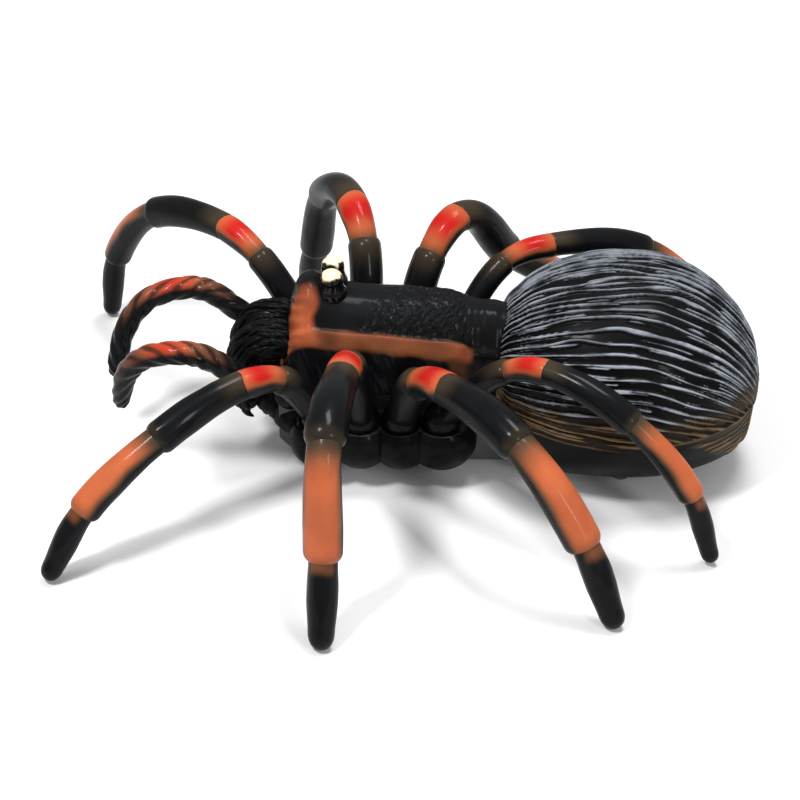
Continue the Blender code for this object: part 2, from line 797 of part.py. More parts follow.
def build_pinion():
    wheel = gear(MOTOR_Y, PINION_PITCH_R, PINION_TEETH, BIG_Z[0] - 0.2, BIG_Z[1] + 0.3, math.pi / 8)
    wheel = cut(wheel, cylinder((0, MOTOR_Y, 20), (0, MOTOR_Y, 40), 0.75, 12))
    return finish(wheel, "motor_pinion", steel(), (0, MOTOR_Y, BIG_Z[0]))


def build_motor():
    """A small flat-sided can motor standing on the bracket with its shaft pointing down."""
    outline = []
    for k in range(24):
        angle = 2 * math.pi * k / 24
        outline.append((10.0 * math.cos(angle), MOTOR_Y + max(-7.6, min(7.6, 10.0 * math.sin(angle)))))
    can = prism(outline, *MOTOR_Z)
    nose = cylinder((0, MOTOR_Y, MOTOR_Z[0] - 1.6), (0, MOTOR_Y, MOTOR_Z[0] + 0.5), 3.0)
    shaft = cylinder((0, MOTOR_Y, BIG_Z[0] - 0.6), (0, MOTOR_Y, MOTOR_Z[0]), 0.6, 12)
    cap = cylinder((0, MOTOR_Y, MOTOR_Z[1] - 0.5), (0, MOTOR_Y, MOTOR_Z[1] + 1.6), 2.6)
    can = fuse(can, nose, shaft, cap)
    return finish(can, "motor", steel(), (0, MOTOR_Y, MOTOR_Z[0]))


def build_bracket():
    """The plate that holds the motor and the top of the middle axle, on four posts."""
    plate = box((-13.0, 9.5, BRACKET_Z[0]), (13.0, 39.0, BRACKET_Z[1]))
    foot = BAY_TOP_Z + BAY_WALL + GAP
    posts = []
    for y in (12.8, 36.0):
        for side in (1, -1):
            x = side * 10.8
            posts.append(cylinder((x, y, foot), (x, y, BRACKET_Z[0] + 0.5), 1.8, 12))
    plate = fuse(plate, *posts)
    holes = [
        cylinder((0, COMPOUND_Y, 30), (0, COMPOUND_Y, 40), AXLE_R + 0.15, 12),
        cylinder((0, MOTOR_Y, 30), (0, MOTOR_Y, 40), 3.3),
    ]
    plate = cut(plate, *holes)
    return finish(plate, "gearbox_bracket", bar_plastic(), (0, MOTOR_Y, BRACKET_Z[0]))


def build_axles():
    crank = cylinder((0, CRANK_Y, BASE_Z + 4.4), (0, CRANK_Y, SEAM_Z - 0.4), AXLE_R, 12)
    finish(crank, "crank_axle", steel(), (0, CRANK_Y, CRANK_Z[0]))
    low = BAY_TOP_Z + 0.2
    compound = cylinder((0, COMPOUND_Y, low), (0, COMPOUND_Y, BRACKET_Z[1]), AXLE_R, 12)
    finish(compound, "compound_axle", steel(), (0, COMPOUND_Y, CRANK_Z[0]))


# ---------------------------------------------------------------- power

def build_cell(side):
    """A small cylindrical cell; the two lie head to tail."""
    middle = (BAY_Y[0] + BAY_Y[1]) / 2
    x = side * CELL_X
    start = middle - side * CELL_LENGTH / 2
    end = middle + side * (CELL_LENGTH / 2 - 1.0)
    can = cylinder((x, start, CELL_Z), (x, end, CELL_Z), CELL_R - 0.05, 20)
    button = cylinder((x, end - side * 0.5, CELL_Z), (x, end + side * 1.0, CELL_Z), 1.9, 12)
    name = "cell_left" if side > 0 else "cell_right"
    return finish(fuse(can, button), name, cell_wrap(), (x, middle, CELL_Z))


def build_contact(end):
    """A metal strip across one end of the bay, with a stepped bump where each cell presses."""
    front = end == "front"
    wall_y = BAY_Y[0] if front else BAY_Y[1]
    inward = 1 if front else -1
    low_y = min(wall_y + inward * 0.2, wall_y + inward * 0.7)
    strip = box((-10.2, low_y, CELL_Z - 4.0), (10.2, low_y + 0.5, CELL_Z + 4.0))
    for x in (CELL_X, -CELL_X):
        bump = tube(
            ((x, wall_y + inward * 0.4, CELL_Z), (x, wall_y + inward * 1.2, CELL_Z),
             (x, wall_y + inward * 1.7, CELL_Z)),
            (2.6, 2.0, 1.3),
            12,
        )
        strip = fuse(strip, bump)
    return finish(strip, "contact_" + end, steel(), (0, wall_y, CELL_Z))


def build_door():
    door = door_plate(0.6, BASE_Z, BASE_Z + DOOR_THICK)
    for i in range(5):
        y = BAY_Y[0] + 5.0 + 1.6 * i
        door = cut(door, box((-6.0, y, 0), (6.0, y + 0.7, BASE_Z + 0.4)))
    door = cut(door, cylinder((0, DOOR_SCREW_Y, 0), (0, DOOR_SCREW_Y, 12), 1.3, 12))
    return finish(door, "battery_door", black_plastic(), (0, BAY_Y[0], BASE_Z))


def cross_screw(x, y, head_z, tip_z, name):
    """A pan-head screw driven upward, with a cross recess in its head."""
    head = cylinder((x, y, head_z), (x, y, head_z + 1.4), SCREW_HEAD_R, 12)
    shank = tube(((x, y, head_z + 1.0), (x, y, tip_z - 1.5), (x, y, tip_z)),
                 (SCREW_R - 0.1, SCREW_R - 0.1, 0.3), 8)
    screw = fuse(head, shank)
    low = head_z - 1
    high = head_z + 0.7
    screw = cut(screw, box((x - 1.3, y - 0.3, low), (x + 1.3, y + 0.3, high)))
    screw = cut(screw, box((x - 0.3, y - 1.3, low), (x + 0.3, y + 1.3, high)))
    return finish(screw, name, steel(), (x, y, head_z))


def build_door_screw():
    y = DOOR_SCREW_Y
    head = cylinder((0, y, BASE_Z - 0.9), (0, y, BASE_Z - 0.2), 2.0)
    shank = cylinder((0, y, BASE_Z - 0.4), (0, y, BASE_Z + 5.8), 1.0, 12)
    screw = fuse(head, shank)
    screw = cut(screw, box((-1.2, y - 0.3, 0), (1.2, y + 0.3, BASE_Z - 0.5)))
    return finish(screw, "door_screw", steel(), (0, y, BASE_Z))


def build_board():
    low_z = BAY_TOP_Z + BAY_WALL + GAP
    board = box((-9.0, 46.0, low_z), (9.0, 60.0, low_z + 1.2))
    chip = box((-4.0, 50.0, low_z + 1.0), (3.0, 55.0, low_z + 2.6))
    capacitor = cylinder((6.0, 56.0, low_z + 1.0), (6.0, 56.0, low_z + 6.0), 2.0, 12)
    return finish(fuse(board, chip, capacitor), "control_board", board_green(), (0, 46.0, low_z))


def build_switch():
    floor = BASE_Z + WALL + GAP
    body = box((-4.0, SWITCH_Y - 4.5, floor), (4.0, SWITCH_Y + SWITCH_TRAVEL + 4.5, floor + 5.0))
    groove = box((-1.2, SWITCH_Y - 1.5, 0), (1.2, SWITCH_Y + SWITCH_TRAVEL + 1.5, floor + 2.5))
    finish(cut(body, groove), "power_switch", bar_plastic(), (0, SWITCH_Y, floor))
    knob = box((-1.6, SWITCH_Y - 1.7, BASE_Z - 1.0), (1.6, SWITCH_Y + 1.7, floor - 0.3))
    stem = box((-0.8, SWITCH_Y - 1.1, floor - 0.6), (0.8, SWITCH_Y + 1.1, floor + 1.8))
    finish(fuse(knob, stem), "switch_knob", bar_plastic(), (0, SWITCH_Y, BASE_Z))


def build_screws():
    for name, (x, y, head_z) in SHELL_SCREWS.items():
        cross_screw(x, y, head_z, SEAM_Z + 7.5, name)


def main():
    clear_scene()
    build_belly()
    build_carapace()
    build_abdomen_shell()
    for name in LEGS:
        build_leg(name)
    for side in (1, -1):
        build_chelicera(side)
        build_palp(side)
        build_eye(side)
        build_cell(side)
    upper_bar_legs = [name for name in LEGS if name not in LOWER_BAR_LEGS]
    build_bar("lower_bar", LOWER_BAR_Z, LOWER_BAR_LEGS)
    build_bar("upper_bar", UPPER_BAR_Z, upper_bar_legs)
    build_crank()
    build_compound()
    build_pinion()
    build_motor()
    build_bracket()
    build_axles()
    build_contact("front")
    build_contact("rear")
    build_door()
    build_door_screw()
    build_board()
    build_switch()
    build_screws()


main()
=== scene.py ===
"""Looks of the walking tarantula toy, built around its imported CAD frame.

Shapes are worked out in design millimetres (head to -Y, left side +X, floor at Z = 0) and placed
from the frame's own leg joints. Paint is computed for each point as a colour attribute.
"""

import json
import math

import bpy
import numpy as np
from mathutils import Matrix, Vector


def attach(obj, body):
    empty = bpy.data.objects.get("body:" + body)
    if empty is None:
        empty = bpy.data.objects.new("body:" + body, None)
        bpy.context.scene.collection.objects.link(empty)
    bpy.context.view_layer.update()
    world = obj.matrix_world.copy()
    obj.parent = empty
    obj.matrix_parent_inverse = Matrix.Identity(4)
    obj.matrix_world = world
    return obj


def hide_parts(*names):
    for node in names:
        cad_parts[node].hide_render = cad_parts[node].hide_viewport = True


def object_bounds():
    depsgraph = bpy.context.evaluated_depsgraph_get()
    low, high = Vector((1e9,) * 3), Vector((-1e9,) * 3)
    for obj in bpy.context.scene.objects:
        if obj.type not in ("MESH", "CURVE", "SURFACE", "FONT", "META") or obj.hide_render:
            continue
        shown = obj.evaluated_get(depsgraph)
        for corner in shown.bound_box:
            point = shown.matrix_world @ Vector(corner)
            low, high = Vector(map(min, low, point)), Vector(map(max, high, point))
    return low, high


MM = 0.001

# Camera
CAMERA_DISTANCE = 700.0
CAMERA_ELEVATION = 34.0
CAMERA_TURN = 1.71
CAMERA_LENS = 99.9
TARGET = (0.0, -28.8, 19.1)

# Legs, with their joints where the CAD part has them
ROOT_FIRST_Y = -53.0
BALL_R = 5.9
PIVOT_R = 1.5
ARM_R = 1.3
ARM_OVERRUN = 1.2
PEG_R = 1.0
FOOT_R = 4.0
ARCH_Z = 58.0  # above this, an arch may be pressed down to stay inside the CAD's height
SEGMENT_LENGTHS = (34.7, 15.5, 32.0, 32.5)
SEGMENT_RADII = (5.4, 5.2, 5.9, 5.6, 4.5)
THICKNESS = {1: 0.86, 2: 1.0, 3: 1.0, 4: 0.74}
ARM_LENGTHS = {1: 10.0, 2: 10.0, 3: 12.5, 4: 13.5}
PIVOT_END_Z = 10.0
LOWER_PEG_Z = 17.9
UPPER_PEG_Z = 28.3
# name: (side, number, overall scale, femur scale, yaws of femur, middle and end, five elevations)
LEGS = {
    "leg_left_1": (1, 1, 0.92, 0.80, (-48, -54, -59), (54, 11, -16, -35, -56)),
    "leg_left_2": (1, 2, 1.05, 0.87, (-10, -5, -3), (63, 22, 1, -74, -66)),
    "leg_left_3": (1, 3, 1.04, 0.63, (31, 37, 52), (61, 20, -1, -44, -62)),
    "leg_left_4": (1, 4, 0.90, 1.19, (53, 61, 78), (49, 16, -17, -50, -71)),
    "leg_right_1": (-1, 1, 1.03, 1.11, (-57, -51, -48), (49, 19, -12, -49, -77)),
    "leg_right_2": (-1, 2, 1.01, 1.10, (-3, -20, -18), (66, 32, -25, -62, -61)),
    "leg_right_3": (-1, 3, 0.99, 1.06, (38, 44, 46), (68, 36, -44, -40, -61)),
    "leg_right_4": (-1, 4, 1.07, 1.02, (53, 68, 70), (50, 10, -14, -48, -67)),
}
YAW_OF_SEGMENT = (0, 1, 1, 2, 2)
LOWER_BAR_LEGS = ("leg_left_1", "leg_right_2", "leg_left_3", "leg_right_4")

# Abdomen: y, half-width, top height, half-width of the flat base, base height
ABDOMEN_STATIONS = np.array((
    (1.0, 13.0, 46.0, 9.0, 12.0),
    (3.0, 19.0, 52.0, 11.0, 8.0),
    (8.0, 25.0, 58.5, 14.0, 6.0),
    (16.0, 31.0, 64.0, 16.5, 6.0),
    (28.0, 35.5, 68.0, 18.0, 6.0),
    (42.0, 37.0, 69.0, 18.5, 6.0),
    (54.0, 35.5, 67.5, 17.0, 6.0),
    (64.0, 31.5, 63.0, 12.5, 6.0),
    (72.0, 25.5, 56.5, 7.5, 6.0),
    (78.0, 18.0, 49.0, 3.5, 7.0),
    (81.5, 10.5, 41.0, 2.5, 13.0),
    (82.5, 6.0, 36.0, 1.5, 20.0),
))
WIDEST_Z = 33.0
SEAM_Z = 28.5
LIP = 1.2
SKIN = 0.5
RIDGES = 68.0
GROOVE_DEPTH = 0.95
TAIL_GAP = 0.3  # how far the ridged shell stops short of the CAD's tail
TAIL_ROWS = 6
ABDOMEN_WALL = 1.3
ABDOMEN_INSIDE = (0, 42, 30)  # a point that every normal of the abdomen faces away from

# Carapace: y, half-width at the lower edge, half-width at the rim, rim height, top height
CARAPACE_STATIONS = np.array((
    (-64.0, 9.0, 10.0, 41.0, 45.0),
    (-62.4, 10.2, 11.8, 45.5, 54.0),
    (-60.4, 11.4, 13.8, 48.5, 61.0),
    (-57.0, 12.6, 15.2, 50.0, 64.5),
    (-52.0, 12.6, 15.6, 50.0, 62.6),
    (-46.0, 12.6, 15.6, 49.5, 60.5),
    (-38.0, 12.6, 15.5, 49.0, 59.5),
    (-22.0, 12.6, 15.2, 47.0, 59.0),
    (-12.0, 12.2, 14.6, 45.6, 58.0),
    (-8.0, 11.8, 13.8, 44.6, 56.4),
    (-5.5, 11.6, 13.2, 44.0, 55.6),
    (0.4, 11.8, 13.3, 43.6, 55.0),
    (6.5, 11.0, 12.4, 42.4, 53.4),
))
CARAPACE_WALL = 1.2
THORAX_INSIDE = (0, -35, 38)

# Head pieces
EYE = (4.0, -49.4, 65.6)
EYE_R = 3.5
EYE_HEIGHT = 2.9
EYE_TILT = 9.0
POLE_R = 0.002  # radius of the ring that closes a turned profile
JAW_PATH = np.array((
    (5.8, -60.5, 42.5), (6.0, -66.0, 44.5), (6.0, -72.0, 43.5), (6.0, -75.8, 38.5),
    (6.0, -76.6, 31.0), (5.9, -76.2, 24.5), (5.6, -75.6, 19.5),
))
JAW_RADII = (5.2, 6.0, 6.0, 5.7, 5.4, 4.7, 2.6)
PALP_PATH = np.array((
    (9.4, -61.4, 33.0), (14.2, -67.5, 34.0), (17.2, -73.5, 37.0), (17.8, -79.5, 41.5),
    (19.0, -88.0, 47.5), (19.0, -96.0, 49.0), (17.0, -107.0, 46.0), (13.5, -114.0, 38.0),
    (9.8, -117.0, 28.0), (8.2, -117.8, 22.0),
))
PALP_RADII = (2.2, 2.3, 3.3, 3.5, 3.7, 3.6, 3.5, 3.4, 3.0, 2.0)
PALP_REACH = {1: 0.96, -1: 1.03}
PALP_LEAN = (0.9, -0.7)
CUP_X = 15.5
CUP_Z = 15.5
CUP_R = 9.9
CUP_HALF = {1: 9.9, 2: 9.9, 3: 9.9, 4: 11.0}  # half-length along Y

# Paint, as linear colours
BLACK = np.array((0.0030, 0.0029, 0.0030))
CHARCOAL = np.array((0.0046, 0.0050, 0.0058))
RED = np.array((0.42, 0.011, 0.008))
ORANGE = np.array((0.44, 0.105, 0.040))
RUST = np.array((0.160, 0.060, 0.028))
OLIVE = np.array((0.048, 0.034, 0.020))
FROST = np.array((0.45, 0.49, 0.56))
OCHRE = np.array((0.19, 0.118, 0.056))
CREAM = np.array((0.90, 0.72, 0.46))

LIGHT_TARGET = (0.0, 0.0, 0.03)

LATTICE = np.random.default_rng(11).random((64, 64, 64))


# ---------------------------------------------------------------- helpers

def noise(x, y, z):
    """Smooth value noise from -1 to 1."""
    x, y, z = np.broadcast_arrays(x, y, z)
    spots = [np.floor(v).astype(int) for v in (x, y, z)]
    parts = [v - s for v, s in zip((x, y, z), spots)]
    parts = [f * f * (3 - 2 * f) for f in parts]
    total = np.zeros(x.shape)
    for i in (0, 1):
        for j in (0, 1):
            for k in (0, 1):
                weight = parts[0] if i else 1 - parts[0]
                weight = weight * (parts[1] if j else 1 - parts[1])
                weight = weight * (parts[2] if k else 1 - parts[2])
                total += weight * LATTICE[(spots[0] + i) % 64, (spots[1] + j) % 64, (spots[2] + k) % 64]
    return total * 2 - 1


def ease(low, high, x):
    """0 below low, 1 above high, smooth between."""
    t = np.clip((x - low) / (high - low), 0, 1)
    return t * t * (3 - 2 * t)


def mix(first, second, share):
    share = np.asarray(share)[..., None]
    return first * (1 - share) + second * share


def unit(v):
    return v / np.maximum(np.linalg.norm(v, axis=-1, keepdims=True), 1e-9)


def hermite(t, start, end, leaving, arriving):
    """A cubic from start to end with a given slope at each, for t from 0 to 1."""
    return ((2 * t ** 3 - 3 * t ** 2 + 1) * start + (t ** 3 - 2 * t ** 2 + t) * leaving
            + (3 * t ** 2 - 2 * t ** 3) * end + (t ** 3 - t ** 2) * arriving)


def spline(keys, values, at):
    """A smooth curve through values at keys, evaluated at each point of at."""
    keys = np.asarray(keys, float)
    values = np.asarray(values, float)
    slopes = np.gradient(values, keys, axis=0)
    i = np.clip(np.searchsorted(keys, at) - 1, 0, len(keys) - 2)
    width = keys[i + 1] - keys[i]
    t = (at - keys[i]) / width
    if values.ndim > 1:
        t, width = t[:, None], width[:, None]
    return hermite(t, values[i], values[i + 1], width * slopes[i], width * slopes[i + 1])


def grid_mesh(points, wrap):
    """Vertices and quads of a grid of points, closed round its columns when wrap is true."""
    rows, columns = points.shape[:2]
    index = np.arange(rows * columns).reshape(rows, columns)
    if wrap:
        index = np.concatenate([index, index[:, :1]], axis=1)
    quads = np.stack([index[:-1, :-1], index[:-1, 1:], index[1:, 1:], index[1:, :-1]], axis=-1)
    return points.reshape(-1, 3), quads.reshape(-1, 4)


def make(name, parts, surface):
    """One object from (points, quads, colours) parts in design millimetres. One colour will do."""
    vertices = []
    faces = []
    colours = []
    count = 0
    for points, quads, colour in parts:
        vertices.append(points.reshape(-1, 3))
        faces.append(quads + count)
        colours.append(np.broadcast_to(colour, points.shape).reshape(-1, 3))
        count += len(vertices[-1])
    vertices = (np.concatenate(vertices) + SHIFT) * MM
    faces = np.concatenate(faces)
    mesh = bpy.data.meshes.new(name)
    mesh.vertices.add(len(vertices))
    mesh.vertices.foreach_set("co", vertices.astype(np.float32).ravel())
    mesh.loops.add(faces.size)
    mesh.loops.foreach_set("vertex_index", faces.astype(np.int32).ravel())
    mesh.polygons.add(len(faces))
    mesh.polygons.foreach_set("loop_start", np.arange(0, faces.size, 4, dtype=np.int32))
    mesh.update(calc_edges=True)
    paint = mesh.attributes.new("Paint", "FLOAT_COLOR", "POINT")
    rgba = np.ones((len(vertices), 4), np.float32)
    rgba[:, :3] = np.concatenate(colours)
    paint.data.foreach_set("color", rgba.ravel())
    mesh.validate()
    mesh.shade_smooth()
    mesh.materials.append(surface)
    obj = bpy.data.objects.new(name, mesh)
    bpy.context.scene.collection.objects.link(obj)
    return obj


def frames(line, across):
    """Directions along, across and dorsal at each point of a centreline."""
    along = unit(np.gradient(line, axis=0))
    across = unit(across - along * (along @ across)[:, None])
    return along, across, unit(np.cross(across, along))


# ---------------------------------------------------------------- materials

def nodes_of(name):
    made = bpy.data.materials.new(name)
    made.use_nodes = True
    tree = made.node_tree
    return made, tree.nodes, tree.links, tree.nodes["Principled BSDF"]


def surface_detail(nodes, links, shader, rough, grain, depth):
    """Roughness that varies in soft patches, and a fine bump, both in object space."""
    place = nodes.new("ShaderNodeTexCoord")
    patches = nodes.new("ShaderNodeTexNoise")
    patches.inputs["Scale"].default_value = 90.0
    patches.inputs["Detail"].default_value = 5.0
    links.new(place.outputs["Object"], patches.inputs["Vector"])
    spread = nodes.new("ShaderNodeMapRange")
    spread.inputs["From Min"].default_value = 0.3
    spread.inputs["From Max"].default_value = 0.7
    spread.inputs["To Min"].default_value = rough[0]
    spread.inputs["To Max"].default_value = rough[1]
    links.new(patches.outputs["Fac"], spread.inputs["Value"])
    links.new(spread.outputs["Result"], shader.inputs["Roughness"])
    fine = nodes.new("ShaderNodeTexNoise")
    fine.inputs["Scale"].default_value = grain
    fine.inputs["Detail"].default_value = 6.0
    links.new(place.outputs["Object"], fine.inputs["Vector"])
    bump = nodes.new("ShaderNodeBump")
    bump.inputs["Strength"].default_value = 0.5
    bump.inputs["Distance"].default_value = depth
    links.new(fine.outputs["Fac"], bump.inputs["Height"])
    links.new(bump.outputs["Normal"], shader.inputs["Normal"])
    return patches


def painted(name, rough, grain, depth, coat):
    """Varnished paint whose colour is the Paint attribute, slightly mottled."""
    made, nodes, links, shader = nodes_of(name)
    patches = surface_detail(nodes, links, shader, rough, grain, depth)
    colour = nodes.new("ShaderNodeAttribute")
    colour.attribute_name = "Paint"
    mottle = nodes.new("ShaderNodeMapRange")
    mottle.inputs["From Min"].default_value = 0.25
    mottle.inputs["From Max"].default_value = 0.75
    mottle.inputs["To Min"].default_value = 0.82
    mottle.inputs["To Max"].default_value = 1.15
    links.new(patches.outputs["Fac"], mottle.inputs["Value"])
    scaled = nodes.new("ShaderNodeVectorMath")
    scaled.operation = "SCALE"
    links.new(colour.outputs["Color"], scaled.inputs[0])
    links.new(mottle.outputs["Result"], scaled.inputs["Scale"])
    links.new(scaled.outputs["Vector"], shader.inputs["Base Color"])
    shader.inputs["Specular IOR Level"].default_value = 0.04
    shader.inputs["Coat Weight"].default_value = coat
    shader.inputs["Coat Roughness"].default_value = 0.12
    shader.inputs["Coat IOR"].default_value = 1.35
    return made


def plain(name, colour, rough, metallic=0.0, grain=1400.0, depth=0.00004):
    """A bare material of one colour."""
    made, nodes, links, shader = nodes_of(name)
    surface_detail(nodes, links, shader, rough, grain, depth)
    shader.inputs["Base Color"].default_value = (*colour, 1.0)
    shader.inputs["Metallic"].default_value = metallic
    return made


# ---------------------------------------------------------------- legs

def heading(side, yaw, elevation):
    """The direction of a segment as a unit vector."""
    yaw = math.radians(yaw)
    elevation = math.radians(elevation)
    flat = math.cos(elevation)
    return np.array((side * flat * math.cos(yaw), flat * math.sin(yaw), math.sin(elevation)))


def leg_joints(name):
    """The root, four creases and centre of the foot."""
    side, _, scale, femur_scale, yaws, elevations = LEGS[name]
    points = [np.array(ROOTS[name])]
    for i, elevation in enumerate(elevations):
        way = heading(side, yaws[YAW_OF_SEGMENT[i]], elevation)
        if i == 4:
            length = (FOOT_R - points[-1][2]) / way[2]
        else:
            length = SEGMENT_LENGTHS[i] * scale * (femur_scale if i == 0 else 1.0)
        points.append(points[-1] + way * length)
    return points


def leg_paint(segment, t, dorsal):
    """Black, with painted shade darkening the underside, red over the patella, orange on the upper face of the
    metatarsus, with soft edges.
    """
    colour = np.broadcast_to(CHARCOAL, (*t.shape, 3))
    # painted shade: the charcoal darkens to black towards the underside of each segment
    colour = mix(colour, BLACK, ease(0.1, -0.7, dorsal))
    if segment == 0:
        colour = mix(colour, OLIVE, ease(-0.1, 0.5, dorsal) * ease(0.74, 1.0, t) * 0.7)
    if segment == 1:
        colour = mix(colour, OLIVE, ease(-0.25, 0.25, dorsal) * 0.9)
        colour = mix(colour, RUST, ease(-0.05, 0.35, dorsal) * ease(-0.15, 0.15, t))
        colour = mix(colour, ORANGE, ease(0.0, 0.5, dorsal) * ease(0.0, 0.28, t) * ease(1.25, 0.85, t))
        colour = mix(colour, RED, ease(0.1, 0.6, dorsal) * np.exp(-(((t - 0.60) / 0.27) ** 2) ** 1.3))
    if segment == 2:
        colour = mix(colour, OLIVE, ease(0.0, 0.6, dorsal) * ease(0.30, 0.02, t) * 0.8)
        colour = mix(colour, OLIVE, ease(-0.1, 0.5, dorsal) * ease(0.90, 1.0, t) * 0.45)
    if segment == 3:
        colour = mix(colour, OLIVE, ease(-0.05, 0.35, dorsal) * 0.95)
        colour = mix(colour, RUST, ease(0.08, 0.50, dorsal) * ease(0.0, 0.20, t))
        colour = mix(colour, ORANGE, ease(0.24, 0.72, dorsal) * ease(0.05, 0.34, t) * ease(1.16, 0.86, t))
    if segment == 4:
        colour = mix(colour, BLACK, ease(0.3, 0.7, t))
        colour = mix(colour, RUST, ease(0.35, 0.85, dorsal) * ease(0.24, 0.10, t) * 0.8)
    return colour


def segment_part(joints, i, radius, across, wobble):
    """One bulging length of a leg: slim at its start, rounded where the next one begins."""
    start, end = joints[i], joints[i + 1]
    length = np.linalg.norm(end - start)
    way = unit(end - start)
    before = unit(way + unit(joints[i] - joints[i - 1])) if i > 0 else way
    after = unit(way + unit(joints[i + 2] - joints[i + 1])) if i < 4 else way
    overrun = radius * (0.38 if i < 4 else 0.0) / length
    lead = radius * 0.45 / length
    t = np.linspace(-lead, 1 + overrun, 72)
    if i == 4:
        t = -lead + (1 + lead + radius * 0.85 / length) * np.sin(np.linspace(0, math.pi / 2, 72))
    u = np.clip(t, 0, 1)[:, None]
    line = hermite(u, start, end, length * before, length * after)
    line = line + np.minimum(t, 0)[:, None] * length * before
    line = line + np.maximum(t - 1, 0)[:, None] * length * after
    _, side, dorsal = frames(line, across)
    swell = 0.86 + 0.14 * ease(-0.05, 0.75, t)
    if i == 4:
        swell = 0.93 + 0.07 * ease(0.0, 0.4, t) - 0.16 * ease(0.5, 1.0, t)
    round_from = t[-1] - radius * (0.8 if i < 4 else 1.25) / length
    end_share = np.clip((t - round_from) / (t[-1] - round_from), 0, 1)
    start_share = np.clip((t - t[0]) / (radius * 0.4 / length), 0, 1)
    shape = swell * (1 - end_share ** 2.6) ** (1 / 2.2) * (1 - (1 - start_share) ** 3) ** 0.5
    angle = np.linspace(0, 2 * math.pi, 56, endpoint=False)
    facing = np.sin(angle)
    form = 1 + 0.025 * np.cos(2 * angle + wobble) + 0.014 * np.cos(3 * angle + 2 * wobble)
    seam = 0.012 * np.exp(-((np.abs(np.cos(angle)) - 1) / 0.004) ** 2)
    dents = 0.018 * noise(t[:, None] * 5 + wobble * 3, np.cos(angle) * 1.6, facing * 1.6 + i)
    reach = radius * shape[:, None] * (form + seam + dents)
    ring = np.cos(angle)[None, :, None] * side[:, None] + facing[None, :, None] * dorsal[:, None]
    points = line[:, None] + reach[..., None] * ring
    facing_drift = noise(t[:, None] * 5, np.cos(angle) * 2, wobble)
    facing_grid = np.broadcast_to(facing, reach.shape) + 0.10 * facing_drift
    t_drift = noise(t[:, None] * 4, angle[None, :] * 1.3, i + wobble)
    t_grid = np.broadcast_to(t[:, None], reach.shape) + 0.03 * t_drift
    return (*grid_mesh(points, True), leg_paint(i, t_grid, facing_grid).reshape(-1, 3))


def rod(start, end, radius):
    """A round rod with softened ends."""
    start, end = np.asarray(start, float), np.asarray(end, float)
    length = np.linalg.norm(end - start)
    soft = min(0.25, radius / 3)
    stops = np.array((0, 0, soft * 0.3, soft, length - soft, length - soft * 0.3, length, length))
    radii = np.array((0.001, radius - soft, radius - soft * 0.3, radius, radius, radius - soft * 0.3,
                      radius - soft, 0.001))
    guide = np.array((0.0, 0.0, 1.0)) if abs((end - start)[2]) < 0.7 * length else np.array((0.0, 1.0, 0.0))
    way = unit(end - start)
    across = unit(np.cross(way, guide))
    other = np.cross(way, across)
    angle = np.linspace(0, 2 * math.pi, 20, endpoint=False)
    ring = np.cos(angle)[:, None] * across + np.sin(angle)[:, None] * other
    points = start + stops[:, None, None] * way + radii[:, None, None] * ring
    return (*grid_mesh(points, True), CHARCOAL)


def ball(centre, radius, low=0.0, sides=56, rows=32, roughness=0.0, stretch=1.0):
    """A black ball, or the part of one beyond an angle from its top, stretched along Y."""
    polar = np.linspace(low, math.pi, rows)[:, None]
    angle = np.linspace(0, 2 * math.pi, sides, endpoint=False)
    way = np.stack([np.sin(polar) * np.cos(angle), np.sin(polar) * np.sin(angle),
                    np.cos(polar) + 0 * angle], axis=-1)
    lumps = noise(way[..., 0] * 3 + centre[1], way[..., 1] * 3, way[..., 2] * 3 + centre[0])
    points = np.asarray(centre) + way * (radius + roughness * lumps)[..., None] * (1, stretch, 1)
    return (*grid_mesh(points, True), BLACK)


def under_top(parts):
    """Presses the top of an arch down where it would rise past the CAD's highest point."""
    limit = CAD_BOUNDS[1][2] / MM - 0.1
    highest = max(vertices[:, 2].max() for vertices, _, _ in parts)
    share = min(1.0, (limit - ARCH_Z) / (highest - ARCH_Z))
    pressed = []
    for vertices, quads, colour in parts:
        z = vertices[:, 2]
        level = np.where(z > ARCH_Z, ARCH_Z + (z - ARCH_Z) * share, z)
        pressed.append((np.column_stack([vertices[:, :2], level]), quads, colour))
    return pressed


def build_leg(name, surface):
    """Five bulging segments, with the ball root, pivot, arm and peg that work inside the body."""
    side, number = LEGS[name][:2]
    joints = leg_joints(name)
    thick = THICKNESS[number]
    reach = joints[-1] - joints[0]
    across = unit(np.array((-reach[1], reach[0], 0.0)))
    dorsal = np.cross(across, unit(joints[1] - joints[0]))
    if dorsal[2] < 0:
        across = -across
    parts = [segment_part(joints, i, SEGMENT_RADII[i] * thick, across, number * 1.7 + i)
             for i in range(5)]
    root = joints[0]
    peg = np.array((root[0] - side * ARM_LENGTHS[number], root[1], root[2]))
    peg_end = LOWER_PEG_Z if name in LOWER_BAR_LEGS else UPPER_PEG_Z
    parts.append(ball(root, BALL_R))
    parts.append(rod(root, (root[0], root[1], PIVOT_END_Z), PIVOT_R))
    parts.append(rod(root, peg - (side * ARM_OVERRUN, 0, 0), ARM_R))
    parts.append(rod(peg, (peg[0], peg[1], peg_end), PEG_R))
    leg = make(name + "_limb", under_top(parts), surface)
    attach(leg, name)
    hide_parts(name)


# ---------------------------------------------------------------- abdomen

def abdomen_values(y):
    """Half-width, top, base half-width and base height at each y."""
    return spline(ABDOMEN_STATIONS[:, 0], ABDOMEN_STATIONS[:, 1:], y).T


def abdomen_rows(count):
    """Places along Y, closer together towards both ends."""
    first, last = ABDOMEN_STATIONS[0, 0], ABDOMEN_STATIONS[-1, 0]
    return first + (last - first) * (1 - np.cos(np.linspace(0, math.pi, count))) / 2


